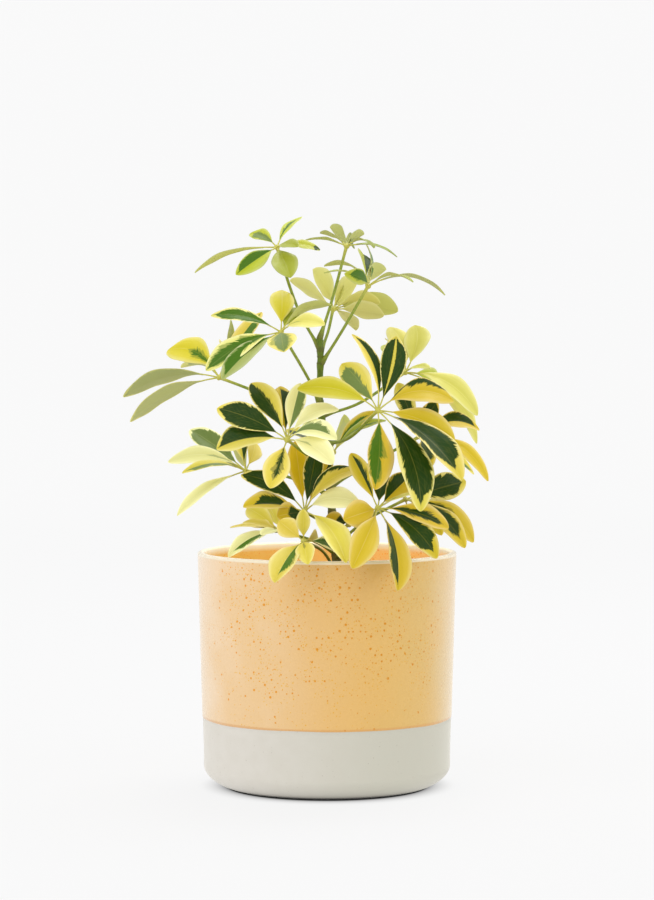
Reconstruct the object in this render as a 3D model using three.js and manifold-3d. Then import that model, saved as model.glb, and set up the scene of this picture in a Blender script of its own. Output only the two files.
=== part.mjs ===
// A young variegated umbrella plant in a cylindrical stoneware pot. Millimetres, +Z up, front towards -Y.
// The origin is the middle of the pot's flat underside.
import * as THREE from 'three';
import { mergeVertices } from 'three/addons/utils/BufferGeometryUtils.js';
import Module from 'manifold-3d';

const wasm = await Module();
wasm.setup();

// Pot: one fired piece, a slightly tapered cylinder with a rounded lip and a rounded foot.
const POT_HEIGHT = 149;
const RIM_RADIUS = 82.5;
const LIP_DROP = 1.5;
const LIP_STEPS = 6;
const FOOT_TOP_RADIUS = 78.6;
const FOOT_TOP = 13;
const FOOT_ANGLES = [25, 50, 75];
const FOOT_POWER = 1.5;
const BASE_RADIUS = 64;
const WALL = 4.6;
const FLOOR = 8;
const FLOOR_FILLET = { height: 8, width: 6 };
const POT_SIDES = 44;

// Soil: fills the pot to 24 mm below the rim, lightly heaped round the stem. The bumps on its top are waves,
// in radians for each millimetre.
const SOIL_TOP = 125;
const SOIL_HEAP = 3;
const SOIL_BUMP = 1.1;
const SOIL_WAVES = { across: 0.31, shift: 1.3, back: 0.27, slantAcross: 0.17, slantBack: 0.23 };
const SOIL_EDGE_BUMP = 0.2;
const SOIL_RINGS = [0.82, 0.6, 0.35];
const SOIL_SEAM = 0.7;
const SOIL_SIDES = 32;
const HOLE_RADIUS = 4.3;

const GAP = 0.3;

// Main stem: it stands in a hole in the soil and grows a little thinner upwards.
const STEM_FOOT = 88;
const STEM_ROUTE = [
  [8, 0, STEM_FOOT], [7.2, 0, 125], [5.8, 0, 149], [2.8, 0, 178], [1.2, 0, 203],
  [-2.5, 0, 228], [-4.7, 0, 246], [-4.4, 0, 262], [-4.2, 0, 276], [-5, 0, 286],
];
const STEM_RADIUS = { foot: 3.2, top: 2 };
const STEM_SIDES = 8;
const STEM_RINGS = 32;
const NODE_SWELL = 0.4;
const NODE_REACH = 2.6;
const BISECTIONS = 30;

// Leaves: a stalk with a swollen base, a hub, and a ring of leaflets on short stalks of their own.
const STALK_RADIUS = { base: 1.9, middle: 1.05, hub: 1.3 };
const STALK_CLASP = 0.2;
const STALK_SIDES = 6;
const STALK_RINGS = 6;
const HUB_RADIUS = 2.4;
const BLADE_THICKNESS = 0.8;
const LEAFLET_STALK = { start: 1.2, share: 0.15, halfWidth: 0.6, thickness: 1.2 };
const BLADE_STATIONS = [0.25, 0.55, 0.82, 0.975];
const BLADE_WIDEST = 0.58;
const BLADE_WEDGE = 0.95;
const BLADE_BLUNTING = 0.35;

// Places on the plant are given as seen from the front, from this distance and height: the first and last
// numbers of a place are where it shows across and up in the upright plane through the pot's axis, and the
// middle one is its true depth, behind that plane when positive.
const EYE = { distance: 1907, height: 298 };
const TOWARDS_EYE = new THREE.Vector3(0, -1, 0);
const HUNDREDTH = 0.01;

// Each leaf: its node's name, hub, the height where it leaves the stem, one place that its stalk passes, and
// its leaflets as tip place, width, turn, arch, bend and fold. A turn of 0 degrees shows the leaflet's top to
// the eye and 90 its edge; a positive one leans the top to the clockwise side of the way it points. The arch
// is the midrib's rise at the middle and the bend its sway to the clockwise side, in hundredths of the
// length. The fold is the slope at which the halves rise from the midrib, in hundredths.
const LEAVES = [
  ['leaf_top_left', [-31.8, -14, 342.2], 277, [-17.5, 5, 301], [
    [-83.9, -8, 326, 12, 106, 9, -2, 25], [-57.8, -46, 324.8, 12.5, 8, 8, 0, 30],
    [-23.2, -52, 322.9, 17, -12, 6, 0, 25], [-48.9, -2, 350.5, 11, 35, 12, 5, 30],
    [-15.9, 16, 361.2, 9.5, -52, 6, -3, 25], [-4.4, -14, 340.3, 10, -55, 12, 0, 25],
    [-18.4, -40, 342.5, 10, -55, 8, 0, 25]]],
  ['leaf_top', [12.4, 4, 342.8], 284, [3, 1, 308], [
    [2, 34, 354.9, 13, 118, 9, 4, 25], [-4.4, 22, 351.1, 9, 102, 9, 0, 15],
    [-14.6, -4, 346.3, 10, 98, 10, 0, 25], [23.5, 32, 350.5, 11, -112, 9, -3, 30],
    [29.9, -14, 341.6, 9, -96, 20, 0, 25], [44.5, 6, 335.9, 10, -80, 14, 0, 25],
    [12, 42, 347, 11, 80, 10, 0, 25]]],
  ['leaf_top_right', [26.1, -4, 317.5], 267, [8.9, -2, 288], [
    [11.1, -38, 325.4, 10.5, 12, 8, 5, 25], [-1.9, 24, 330.2, 9, 96, 18, 0, 20],
    [-1.9, -12, 325.7, 8, 92, 17, 0, 20], [24.2, 50, 345, 8, 72, 6, 0, 20],
    [22.9, 38, 337.1, 13, 50, 10, -12, 30], [37.5, 30, 328.2, 14, -122, 13, 0, 30],
    [75, 4, 311.7, 12, -99, 19, 0, 25], [54.7, -22, 320, 11, -100, 18, 0, 25]]],
  ['leaf_top_back', [3.8, 24, 302.8], 276, [0.5, 12, 288], [
    [-23.5, 42, 321.2, 15, 125, 6, 0, 25], [-8.9, 52, 328.2, 17, 135, 6, -4, 25],
    [19.7, 56, 321.2, 18, -135, 8, 0, 30], [6.4, 54, 320.9, 11, 118, 8, 0, 25],
    [45.1, 44, 301.6, 22, -138, 12, 0, 25], [36.2, 22, 299, 17, -135, 8, 0, 25],
    [18.4, 62, 289.5, 12, -125, 8, 0, 25], [33.7, 33, 306.7, 17, -128, 16, 0, 25]]],
  ['leaf_upper_left', [-29.2, -26, 288.4], 243, [-12, -12, 259], [
    [-28.6, 2, 314.8, 16, 5, 10, 0, 18], [2.5, -22, 305.7, 14, -115, 18, 0, 25],
    [-1.3, -40, 292.9, 15, -55, 18, 0, 25], [-27.3, -58, 275.8, 19, 0, 8, 0, 20],
    [-73.7, -24, 298.7, 14, 52, 12, 0, 25], [-76.9, -44, 263.9, 18, 38, 12, 0, 25],
    [-66.7, -56, 258.3, 17, 42, 8, 0, 40], [-19, -8, 303.5, 12, -20, 8, 0, 25]]],
  ['leaf_far_left', [-68.6, 8, 259.6], 226, [-40, 6, 248], [
    [-129.6, 12, 247.2, 20, 122, 14, 0, 20], [-125.2, -12, 231.5, 19, 122, 10, 0, 20],
    [-101.1, 30, 276.7, 22, 26, 14, 12, 20], [-92.8, 44, 265.9, 10, 100, 12, 0, 25],
    [-61, 38, 295.9, 12, 62, 6, 0, 25], [-41.3, 34, 300.9, 15, -42, 6, 0, 25],
    [-67.4, 50, 281.9, 14, 50, 10, 0, 25]]],
  ['leaf_front_left', [-25.4, -44, 219.9], 209, [-10, -22, 209], [
    [-70.2, -46, 213.9, 28, 54, 10, 2, 42], [-69.9, -38, 239.8, 18, 18, 7, 4, 20],
    [-48.3, -20, 255.8, 17, 5, 6, 6, 35], [-29.8, -13, 253.8, 15, 0, 6, 0, 30],
    [-16.8, -22, 255.8, 13, -8, 5, 0, 25], [7.3, -36, 239.2, 15, -46, 22, 0, 35],
    [6.4, -54, 220.2, 18, -48, 22, -4, 45], [3.8, -66, 204.3, 19, -36, 13, -3, 42],
    [-36.2, -68, 189, 17.5, 8, 5, 0, 30]]],
  ['leaf_front_right', [32.4, -40, 238.6], 217, [14, -20, 221], [
    [-18.8, -44, 252.3, 17.5, 38, 13, 5, 20], [9.5, -20, 268.2, 18, 5, 8, 4, 25],
    [15.9, -14, 286.9, 11, 36, 10, 7, 40], [43.9, -16, 285.6, 17, 0, 6, 4, 25],
    [80.4, -34, 244.4, 21, -42, 18, -9, 20], [81.4, -40, 218.9, 20, -32, 10, -4, 25],
    [85.8, -72, 194, 27, -54, 8, -4, 50], [59.7, -76, 174.2, 24, -32, 8, -7, 38],
    [30.3, -74, 188.1, 21, -30, 6, 0, 40]]],
  ['leaf_right_back', [49.6, 22, 262.8], 235, [20, 10, 243], [
    [36.9, 40, 284.3, 9, 70, 8, 0, 20], [40, 48, 291.4, 17, 20, 7, 8, 20],
    [56, 46, 292.6, 19, -30, 7, 14, 20], [95.7, 14, 235.4, 19, -45, 15, -6, 20],
    [95.3, 36, 217.6, 16, -45, 14, -7, 20], [65.5, -8, 265.3, 8, -75, 8, 0, 20],
    [36, 54, 280, 12, 30, 8, 0, 25], [74, 60, 252, 17, -45, 12, 0, 20]]],
  ['leaf_middle_back', [4, 20, 212], 200, [3, 9, 204], [
    [32, 26, 238, 13, -55, 10, 0, 35], [37.5, 16, 232, 12, -65, 14, 0, 30],
    [11, 48, 236, 12, 140, 10, 0, 25], [-26, 40, 226, 13, 50, 10, 0, 25],
    [-8, 66, 214, 15, 30, 8, 0, 25], [4, 70, 220, 14, -10, 8, 0, 25]]],
  ['leaf_right', [59, 12, 222], 190, [28, 8, 205], [
    [96.8, 24, 226.2, 16, -45, 20, -6, 40], [102.6, -6, 193.5, 12, -45, 15, -8, 20],
    [93.4, 26, 197.9, 11, -60, 8, 0, 25], [45, 28, 256, 13, 0, 8, 0, 25],
    [70, 2, 244.5, 13, -20, 8, 0, 25], [65.5, -14, 202, 12, -20, 8, 0, 25],
    [62, 58, 208, 14, -20, 8, 0, 25]]],
  ['leaf_low_right', [32.4, -56, 176.3], 145, [20, -28, 157], [
    [15.2, -40, 211.3, 13, 10, 6, 0, 40], [35.6, -36, 199.8, 12, 0, 5, 0, 25],
    [53.4, -38, 197.3, 17, -10, 6, 0, 30], [57.8, -48, 185.9, 8, -70, 8, 0, 20],
    [77.5, -56, 163.6, 16, -38, 14, 0, 30], [70.2, -70, 144.3, 18, -30, 10, -6, 30],
    [44.8, -97, 123.6, 21, -48, 8, -3, 50], [15.9, -102, 137.8, 18, -6, 7, 0, 30],
    [10.5, -78, 169, 19, 8, 10, 0, 22]]],
  ['leaf_low_right_back', [50, 4, 182], 152, [24, 2, 168], [
    [93.4, 0, 154.7, 18, -40, 15, -6, 25], [88, -20, 150.9, 17, -44, 12, -4, 25],
    [73.1, -34, 159, 15, -35, 12, 0, 25], [88.3, 20, 193.5, 19, -15, 6, 0, 25],
    [80, 40, 168, 15, -40, 10, 0, 25], [52, 52, 172, 15, 0, 8, 0, 25]]],
  ['leaf_low_front', [-14.3, -42, 174.1], 171, [-4, -18, 169], [
    [-54.7, -36, 197.5, 14, 24, 8, 9, 25], [-20.3, -12, 218.9, 14, 0, 6, 0, 30],
    [-6.4, -32, 215, 13, 4, 6, 0, 30], [2.5, -20, 207.4, 11, 0, 6, 0, 30],
    [19.7, -36, 200.4, 17, -48, 20, 0, 40], [21, -54, 179.5, 17, -42, 18, -6, 20],
    [12, -97, 141.4, 20, -44, 9, -3, 50], [-53.4, -48, 177, 22, 62, 9, 0, 50],
    [-31.8, -50, 171.2, 16, 12, 8, 0, 25]]],
  ['leaf_low_left', [-29.2, -18, 161.1], 148, [-10, -8, 156], [
    [-61.7, -24, 163.9, 9, 80, 8, 0, 20], [-53.4, -2, 167.1, 12, 55, 8, 0, 20],
    [-62.9, -36, 145, 13, 50, 13, 3, 40], [-50.8, 12, 176.3, 13, 25, 8, 0, 25],
    [-37.5, 10, 178.9, 13, 10, 8, 0, 25], [-42, -46, 159.2, 9, 75, 8, 0, 20],
    [-50, 34, 167, 11, 60, 8, 0, 25]]],
  ['leaf_rim_front', [-14.8, -70, 155.2], 133, [-2, -30, 148], [
    [-33.4, -112, 128.7, 19, 38, 8, 0, 50], [-12, -106, 140.4, 12.5, 0, 9, 0, 20],
    [-30.5, -61, 168, 14, 10, 6, 0, 25], [-15.3, -76, 175.7, 9, 0, 6, 0, 25],
    [-6.5, -34, 160, 8, 0, 6, 0, 25], [5.7, -42, 149.6, 11, -45, 12, 0, 30]]],
  ['leaf_left', [-51.8, 4, 200.1], 184, [-24, 2, 196], [
    [-101.1, 4, 205.8, 15.5, 45, 17, 4, 20], [-92.2, -14, 198.6, 12, 68, 14, 0, 25],
    [-95.3, -6, 171.5, 12, 52, 10, 0, 35], [-87, 34, 226.2, 17, 30, 5, 0, 40],
    [-61.7, 40, 219, 16, 130, 8, 0, 25], [-46.4, 36, 218.9, 13, 30, 8, 0, 25],
    [-56.6, 30, 230, 12, 0, 8, 0, 25], [-80, 52, 205, 11, 60, 8, 0, 25]]],
  ['leaf_young', [14, -16, 166], 160, [8, -8, 162], [
    [-1, -24, 170, 11, 25, 10, 0, 25], [22, -32, 172, 8, -40, 8, 0, 25],
    [26, -8, 172, 8, -40, 8, 0, 25]]],
];

// A material of the given colour.
function finish(colour, roughness) {
  return new THREE.MeshStandardMaterial({ color: colour, roughness, metalness: 0 });
}

// The true place of a point that shows across and up at the given place from the eye, at the given depth.
function seen([across, depth, up]) {
  const scale = (EYE.distance + depth) / EYE.distance;
  return new THREE.Vector3(across * scale, depth, EYE.height + (up - EYE.height) * scale);
}

// A closed body from rings of points in order along it, each ring running left to right over the top and
// back under it. The quads of the under side are split the same way as those above them.
function loft(rings) {
  const around = rings[0].length;
  const half = around / 2;
  const index = [];
  for (let i = 0; i + 1 < rings.length; i++) {
    for (let k = 0; k < around; k++) {
      const next = (k + 1) % around;
      const [a, b, c, d] = [i * around + k, i * around + next, (i + 1) * around + next, (i + 1) * around + k];
      if (k < half) index.push(a, b, c, a, c, d);
      else index.push(a, b, d, b, c, d);
    }
  }
  const last = (rings.length - 1) * around;
  for (let k = 0; k + 1 < half; k++) {
    const [a, b, c, d] = [k, k + 1, around - 2 - k, around - 1 - k];
    index.push(a, c, b, a, d, c);
    index.push(last + a, last + b, last + c, last + a, last + c, last + d);
  }
  const geometry = new THREE.BufferGeometry();
  const places = rings.flatMap((ring) => ring.flatMap((point) => point.toArray()));
  geometry.setAttribute('position', new THREE.Float32BufferAttribute(places, 3));
  geometry.setIndex(index);
  return geometry;
}

// A round rod of changing radius along a curve, with flat ends.
function rod(curve, rings, sides, radiusAt) {
  const frames = curve.computeFrenetFrames(rings, false);
  const list = [];
  for (let i = 0; i <= rings; i++) {
    const centre = curve.getPointAt(i / rings);
    const radius = radiusAt(i / rings, centre);
    list.push(Array.from({ length: sides }, (_, k) => {
      const angle = (2 * Math.PI * k) / sides;
      return centre.clone()
        .addScaledVector(frames.normals[i], radius * Math.cos(angle))
        .addScaledVector(frames.binormals[i], radius * Math.sin(angle));
    }));
  }
  return loft(list);
}

// Turns a closed geometry into a solid that can be joined and cut.
function solid(geometry) {
  const plain = geometry.clone();
  plain.deleteAttribute('normal');
  plain.deleteAttribute('uv');
  const merged = mergeVertices(plain, 1e-4);
  const vertProperties = new Float32Array(merged.attributes.position.array);
  const triVerts = new Uint32Array(merged.index.array);
  return new wasm.Manifold(new wasm.Mesh({ numProp: 3, vertProperties, triVerts }));
}

function geometryOf(body) {
  const mesh = body.getMesh();
  const geometry = new THREE.BufferGeometry();
  geometry.setAttribute('position', new THREE.BufferAttribute(new Float32Array(mesh.vertProperties), 3));
  geometry.setIndex(new THREE.BufferAttribute(new Uint32Array(mesh.triVerts), 1));
  return geometry;
}

function named(name, geometry, material) {
  const mesh = new THREE.Mesh(geometry, material);
  mesh.name = name;
  return mesh;
}

// The pot's outer radius at a height above the foot.
function potRadius(height) {
  return FOOT_TOP_RADIUS + ((RIM_RADIUS - FOOT_TOP_RADIUS) * (height - FOOT_TOP)) / (POT_HEIGHT - FOOT_TOP);
}

// The pot's profile from the middle of the underside, round the lip and back to the middle of the floor.
function pot() {
  const lip = WALL / 2;
  const lipFoot = POT_HEIGHT - LIP_DROP;
  const profile = [new THREE.Vector2(0, 0), new THREE.Vector2(BASE_RADIUS, 0)];
  const foot = FOOT_TOP_RADIUS - BASE_RADIUS;
  for (const angle of FOOT_ANGLES) {
    const turn = THREE.MathUtils.degToRad(angle);
    const radius = BASE_RADIUS + foot * Math.sin(turn) ** FOOT_POWER;
    profile.push(new THREE.Vector2(radius, FOOT_TOP * (1 - Math.cos(turn))));
  }
  profile.push(new THREE.Vector2(FOOT_TOP_RADIUS, FOOT_TOP));
  for (let step = 0; step <= LIP_STEPS; step++) {
    const turn = (Math.PI * step) / LIP_STEPS;
    const radius = RIM_RADIUS - lip + lip * Math.cos(turn);
    profile.push(new THREE.Vector2(radius, lipFoot + LIP_DROP * Math.sin(turn)));
  }
  const filletTop = FLOOR + FLOOR_FILLET.height;
  profile.push(new THREE.Vector2(potRadius(filletTop) - WALL, filletTop));
  profile.push(new THREE.Vector2(potRadius(FLOOR) - WALL - FLOOR_FILLET.width, FLOOR));
  profile.push(new THREE.Vector2(0, FLOOR));
  const geometry = new THREE.LatheGeometry(profile, POT_SIDES);
  geometry.rotateX(Math.PI / 2);
  return named('pot', geometryOf(solid(geometry)), finish(0xefc38a, 0.45));
}

const stemCurve = new THREE.CatmullRomCurve3(STEM_ROUTE.map((place) => new THREE.Vector3(...place)));

// The stem's radius: a taper, with a ring of swelling where each leaf leaves it.
function stemRadius(share, centre) {
  const taper = THREE.MathUtils.lerp(STEM_RADIUS.foot, STEM_RADIUS.top, share);
  const swell = LEAVES.reduce((most, leaf) => {
    const away = (centre.z - leaf[2]) / NODE_REACH;
    return Math.max(most, Math.exp(-away * away));
  }, 0);
  return taper + NODE_SWELL * swell;
}

function stemRod(extra) {
  return rod(stemCurve, STEM_RINGS, STEM_SIDES, (share, centre) => stemRadius(share, centre) + extra);
}

// The stem with its clearance round it and above it, for cutting the leaf stalks that meet it.
function stemClearance() {
  const around = solid(stemRod(GAP));
  const top = stemCurve.getPointAt(1);
  const radius = stemRadius(1, top) + GAP;
  const above = new THREE.CylinderGeometry(radius, radius, 2 * GAP, STEM_SIDES);
  above.rotateX(Math.PI / 2).translate(top.x, top.y, top.z);
  return around.add(solid(above));
}

// The soil: a disc that fills the pot, with a lightly heaped, bumpy top.
function soil() {
  const bottom = FLOOR + GAP;
  const top = SOIL_TOP;
  const filletTop = FLOOR + FLOOR_FILLET.height;
  const edge = (height) => potRadius(height) - WALL - SOIL_SEAM;
  const profile = [[0, bottom], [edge(FLOOR) - FLOOR_FILLET.width, bottom], [edge(filletTop), filletTop]];
  profile.push([edge(top), top]);
  for (const share of SOIL_RINGS) profile.push([edge(top) * share, top + SOIL_HEAP * (1 - share)]);
  profile.push([0, top + SOIL_HEAP]);
  const geometry = new THREE.LatheGeometry(profile.map((point) => new THREE.Vector2(...point)), SOIL_SIDES);
  geometry.rotateX(Math.PI / 2);
  const places = geometry.attributes.position;
  for (let i = 0; i < places.count; i++) {
    const [x, y, z] = [places.getX(i), places.getY(i), places.getZ(i)];
    if (z < top - GAP) continue;
    const waves = SOIL_WAVES;
    const bump = Math.sin(waves.across * x + waves.shift) * Math.cos(waves.back * y)
      + Math.sin(waves.slantAcross * x - waves.slantBack * y);
    const share = Math.hypot(x, y) > edge(top) - 1 ? SOIL_EDGE_BUMP : 1;
    places.setZ(i, z + SOIL_BUMP * bump * share);
  }
  const depth = top - STEM_FOOT + 4 * SOIL_HEAP;
  const hole = new THREE.CylinderGeometry(HOLE_RADIUS, HOLE_RADIUS, depth, 2 * STEM_SIDES);
  const across = (STEM_ROUTE[0][0] + STEM_ROUTE[1][0]) / 2;
  hole.rotateX(Math.PI / 2).translate(across, 0, STEM_FOOT - GAP + depth / 2);
  return named('soil', geometryOf(solid(geometry).subtract(solid(hole))), finish(0x3b2b20, 0.95));
}

// The half-width of a blade at a share of its length, 1 at the widest: half a turn of sine over a power of
// the share, to a power of its own that makes a wedge of the base and blunts the tip.
function outline(share) {
  const power = Math.log(0.5) / Math.log(BLADE_WIDEST);
  return Math.sin(Math.PI * share ** power) ** (BLADE_WEDGE - BLADE_BLUNTING * share);
}

// One leaflet from the hub to its tip: a short stalk, then a blade that arches and sways along its midrib and
// folds up from it on both sides.
function leaflet(hub, [x, y, z, width, turn, arch, bend, fold]) {
  const chord = seen([x, y, z]).sub(hub);
  const length = chord.length();
  const along = chord.clone().normalize();
  const up = TOWARDS_EYE.clone().addScaledVector(along, -TOWARDS_EYE.dot(along)).normalize();
  up.applyAxisAngle(along, THREE.MathUtils.degToRad(turn)).normalize();
  const across = along.clone().cross(up).normalize();
  const rise = Math.atan(HUNDREDTH * fold);
  const ring = (share, halfWidth, thickness, lift) => {
    const bow = length * HUNDREDTH * 4 * share * (1 - share);
    const slope = HUNDREDTH * 4 * arch * (1 - 2 * share);
    const centre = hub.clone().addScaledVector(along, length * share)
      .addScaledVector(up, arch * bow).addScaledVector(across, bend * bow);
    const normal = up.clone().addScaledVector(along, -slope).normalize();
    const at = (side, level) => centre.clone().addScaledVector(across, side * halfWidth * Math.cos(lift))
      .addScaledVector(normal, Math.abs(side) * halfWidth * Math.sin(lift) + (level * thickness) / 2);
    return [at(-1, 1), at(0, 1), at(1, 1), at(1, -1), at(0, -1), at(-1, -1)];
  };
  const { start, share: stalkShare, halfWidth, thickness } = LEAFLET_STALK;
  const rings = [start / length, stalkShare].map((share) => ring(share, halfWidth, thickness, 0));
  for (const station of BLADE_STATIONS) {
    const share = stalkShare + (1 - stalkShare) * station;
    rings.push(ring(share, (width / 2) * outline(station), BLADE_THICKNESS, rise));
  }
  return loft(rings);
}

// A leaf: its stalk, from the stem to the hub, with the leaflets joined round the hub.
function leaf([name, hubPlace, leaves, via, leaflets], clearance) {
  const hub = seen(hubPlace);
  const share = stemShareAt(leaves);
  const stalkCurve = new THREE.CatmullRomCurve3([stemCurve.getPointAt(share), seen(via), hub]);
  const { base, middle, hub: end } = STALK_RADIUS;
  const stalk = rod(stalkCurve, STALK_RINGS, STALK_SIDES, (along) => (
    along < STALK_CLASP ? THREE.MathUtils.lerp(base, middle, along / STALK_CLASP)
      : THREE.MathUtils.lerp(middle, end, (along - STALK_CLASP) / (1 - STALK_CLASP))));
  const knob = new THREE.IcosahedronGeometry(HUB_RADIUS, 0).translate(hub.x, hub.y, hub.z);
  let body = solid(stalk).add(solid(knob));
  for (const row of leaflets) body = body.add(solid(leaflet(hub, row)));
  return named(name, geometryOf(body.subtract(clearance)), finish(0xb9b84a, 0.5));
}

// The share of the stem's length at which it reaches a height.
function stemShareAt(height) {
  let [low, high] = [0, 1];
  for (let step = 0; step < BISECTIONS; step++) {
    const middle = (low + high) / 2;
    if (stemCurve.getPointAt(middle).z < height) low = middle;
    else high = middle;
  }
  return low;
}

const clearance = stemClearance();
const plant = new THREE.Group();
plant.add(pot());
plant.add(soil());
plant.add(named('stem', geometryOf(solid(stemRod(0))), finish(0x6f8a3c, 0.6)));
for (const row of LEAVES) plant.add(leaf(row, clearance));

export default plant;
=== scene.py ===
"""A young variegated umbrella plant in a speckled stoneware pot, in fine geometry and procedural finishes.

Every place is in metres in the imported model's frame: +Z up, the side that the photograph shows towards -Y,
and the origin at the middle of the pot's flat underside.
"""
import math

import bpy
import numpy as np
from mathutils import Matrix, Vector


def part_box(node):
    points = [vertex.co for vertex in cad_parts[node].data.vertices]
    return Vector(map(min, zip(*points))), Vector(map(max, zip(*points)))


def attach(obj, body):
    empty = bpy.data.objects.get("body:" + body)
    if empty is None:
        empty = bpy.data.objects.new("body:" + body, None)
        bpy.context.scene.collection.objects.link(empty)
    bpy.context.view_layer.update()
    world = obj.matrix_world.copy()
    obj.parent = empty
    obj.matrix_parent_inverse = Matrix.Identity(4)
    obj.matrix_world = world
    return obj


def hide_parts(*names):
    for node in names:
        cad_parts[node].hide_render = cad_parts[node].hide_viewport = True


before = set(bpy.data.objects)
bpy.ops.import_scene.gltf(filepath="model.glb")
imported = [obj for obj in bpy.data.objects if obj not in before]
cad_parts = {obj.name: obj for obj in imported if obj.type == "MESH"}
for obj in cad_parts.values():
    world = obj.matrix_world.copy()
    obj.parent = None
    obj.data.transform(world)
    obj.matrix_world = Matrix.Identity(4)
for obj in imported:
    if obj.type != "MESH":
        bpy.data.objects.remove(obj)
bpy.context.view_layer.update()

MM = 0.001
pot_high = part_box("pot")[1]
soil_low, soil_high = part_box("soil")

# The pot, from its packed size: one fired piece with a round lip, a round foot and a bare band below the
# glaze.
POT_HEIGHT = pot_high[2]
RIM_RADIUS = pot_high[0]
FOOT_TOP_RADIUS = RIM_RADIUS - 3.9 * MM
FOOT_TOP = 13 * MM
BASE_RADIUS = 64 * MM
FOOT_POWER = 1.5
WALL = 4.6 * MM
POT_FLOOR = 8 * MM
FLOOR_CURVE = 8 * MM
GLAZE_EDGE = 43.8 * MM
GLAZE_WAVER = 0.35 * MM
GLAZE_DEPTH = 0.3 * MM
GLAZE_ROUND = 0.9 * MM
LIP_DROP = 1.5 * MM
POT_SIDES = 160

# The potting soil's top, 24 mm below the rim.
SOIL_TOP = 125 * MM
SOIL_HEAP = 3 * MM
SOIL_GAP = 0.2 * MM
CRUMBS = 1500
GRIT_EVERY = 14
BIG_CRUMB_EVERY = 9

# The main stem's route in millimetres, and its radius from foot to top.
STEM_ROUTE = [
    [8, 0, 88], [7.2, 0, 125], [5.8, 0, 149], [2.8, 0, 178], [1.2, 0, 203],
    [-2.5, 0, 228], [-4.7, 0, 246], [-4.4, 0, 262], [-4.2, 0, 276], [-5, 0, 286],
]
STEM_RADIUS = (3.1 * MM, 1.8 * MM)
STEM_STEPS = 360
STEM_SIDES = 28
NODE_SWELL = 0.4 * MM
NODE_REACH = 2.6 * MM
SCAR_HEIGHTS = (132, 275)
SCARS = 14
SCAR_RISE = 0.22 * MM
SCAR_REACH = 0.5 * MM
SCAR_ABOVE = 1.5 * MM

# The photograph's viewpoint: the camera's distance and height, its tilt down and its lens.
EYE_DISTANCE = 1.907
EYE_HEIGHT = 0.298
EYE_TILT = math.radians(2.54)
EYE_LENS = 120

# How much light the backdrop gives of its own, on the floor and on the wall. Under the pot the floor is
# dark with a painted shadow: its glow brightens outwards between two distances from the axis, by a small
# power, so fast at first. This painted shadow lies a little to the front.
FLOOR_GLOW = 0.80
WALL_GLOW = 0.85
CONTACT_SHADE = (64 * MM, 83 * MM)
SHADE_SHIFT = 5 * MM
SHADE_POWER = 0.22
# The light from all round, and how bright that air looks to the camera where the backdrop ends.
AIR_LIGHT = 0.72
AIR_SEEN = 0.95
# Each lamp's name, place in metres, width in metres and power in watts.
LAMPS = [
    ("key_lamp", (-1.2, -1.2, 1.5), 2.4, 16.0),
    ("fill_lamp", (1.6, -0.8, 0.8), 1.2, 7.0),
    ("top_lamp", (0.3, 0.7, 1.7), 1.2, 14.0),
]
LAMPS_AIM = (0, 0, 0.17)

# Leaf parts in millimetres: the stalk's radii and how far its two swellings reach along it, the hub, and the
# leaflets. A leaflet's own stalk takes up a share of its length, and its blade is widest at a share of its.
STALK_RADIUS = {"base": 2.15, "middle": 0.95, "hub": 1.2}
STALK_SWELLS = {"base": 6.5, "hub": 4}
STALK_STEPS, STALK_SIDES = 48, 14
HUB_RADIUS = 2.0
HUB_STEPS = 12
LEAFLET_STALK_SHARE = 0.15
LEAFLET_STALK_RADIUS = 0.5
LEAFLET_STALK_STEPS, LEAFLET_STALK_SIDES = 9, 8
BLADE_THICKNESS = 0.62
BLADE_WIDEST = 0.58
BLADE_WEDGE = 0.95
BLADE_BLUNTING = 0.35
RIB_RIDGE = 0.45
RIB_GROOVE = 0.10
# Shares of the blade's half-width: how far its margins turn down, and how high its margins ripple. Then the
# number of ripples along its right and left margins.
BLADE_CAMBER = 0.08
RIPPLE_HEIGHT = 0.045
RIPPLES = (2.3, 2.0)
# A blade's grid: shares of its length, closer together towards base and tip, and places across it from the
# left margin, -1, to the right one, 1, closer together towards both.
BLADE_ALONG = 0.5 * (1 - np.cos(np.pi * (0.02 + 0.97 * np.linspace(0, 1, 40))))
BLADE_ACROSS = np.sin(np.linspace(-0.5 * np.pi, 0.5 * np.pi, 15))

# The pot's colours that differ from its left to its right: partly their own change of hue, partly painted
# light, the outside lighter on its left, where the main lamp shines.
POT_COLOURS = {
    "glaze": ((0.945, 0.813, 0.645), (0.86, 0.715, 0.43)),
    # The paler glaze at the sides is a painted reflection of the white surroundings.
    "side_reflection_glaze": ((0.97, 0.90, 0.80), (0.93, 0.87, 0.77)),
    # The inner glaze is painted light: brighter and deeper orange inside the mouth.
    "inner_bounce_glaze": ((1.0, 0.80, 0.42), (1.0, 0.84, 0.60)),
    # The inner glow is painted light inside the mouth.
    "inner_glow": ((0.66, 0.46, 0.16), (0.80, 0.52, 0.22)),
    "small_speck": ((0.92, 0.68, 0.10), (0.86, 0.62, 0.05)),
    "big_speck": ((0.91, 0.585, 0.0), (0.82, 0.53, 0.0)),
    "clay": ((0.87, 0.85, 0.812), (0.785, 0.775, 0.715)),
}
# And its colours that don't.
POT_TONES = {
    "golden_glaze": (0.92, 0.66, 0.26),
    "cloudy_glaze": (0.91, 0.72, 0.42),
    "lip_glaze": (0.96, 0.91, 0.80),
    # The lip's glow is painted light on its inner half.
    "lip_glow": (0.76, 0.68, 0.55),
    "glaze_edge": (0.84, 0.60, 0.36),
    "clay_patch": (0.79, 0.765, 0.705),
    "clay_grain": (0.66, 0.62, 0.55),
    "clay_iron": (0.48, 0.42, 0.34),
    # Painted shade at the foot: a warm darker band just above its underside, and a dark contact shadow below
    # it.
    "foot_warm_shade": (0.66, 0.60, 0.50),
    "foot_shade": (0.05, 0.045, 0.04),
}
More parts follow.
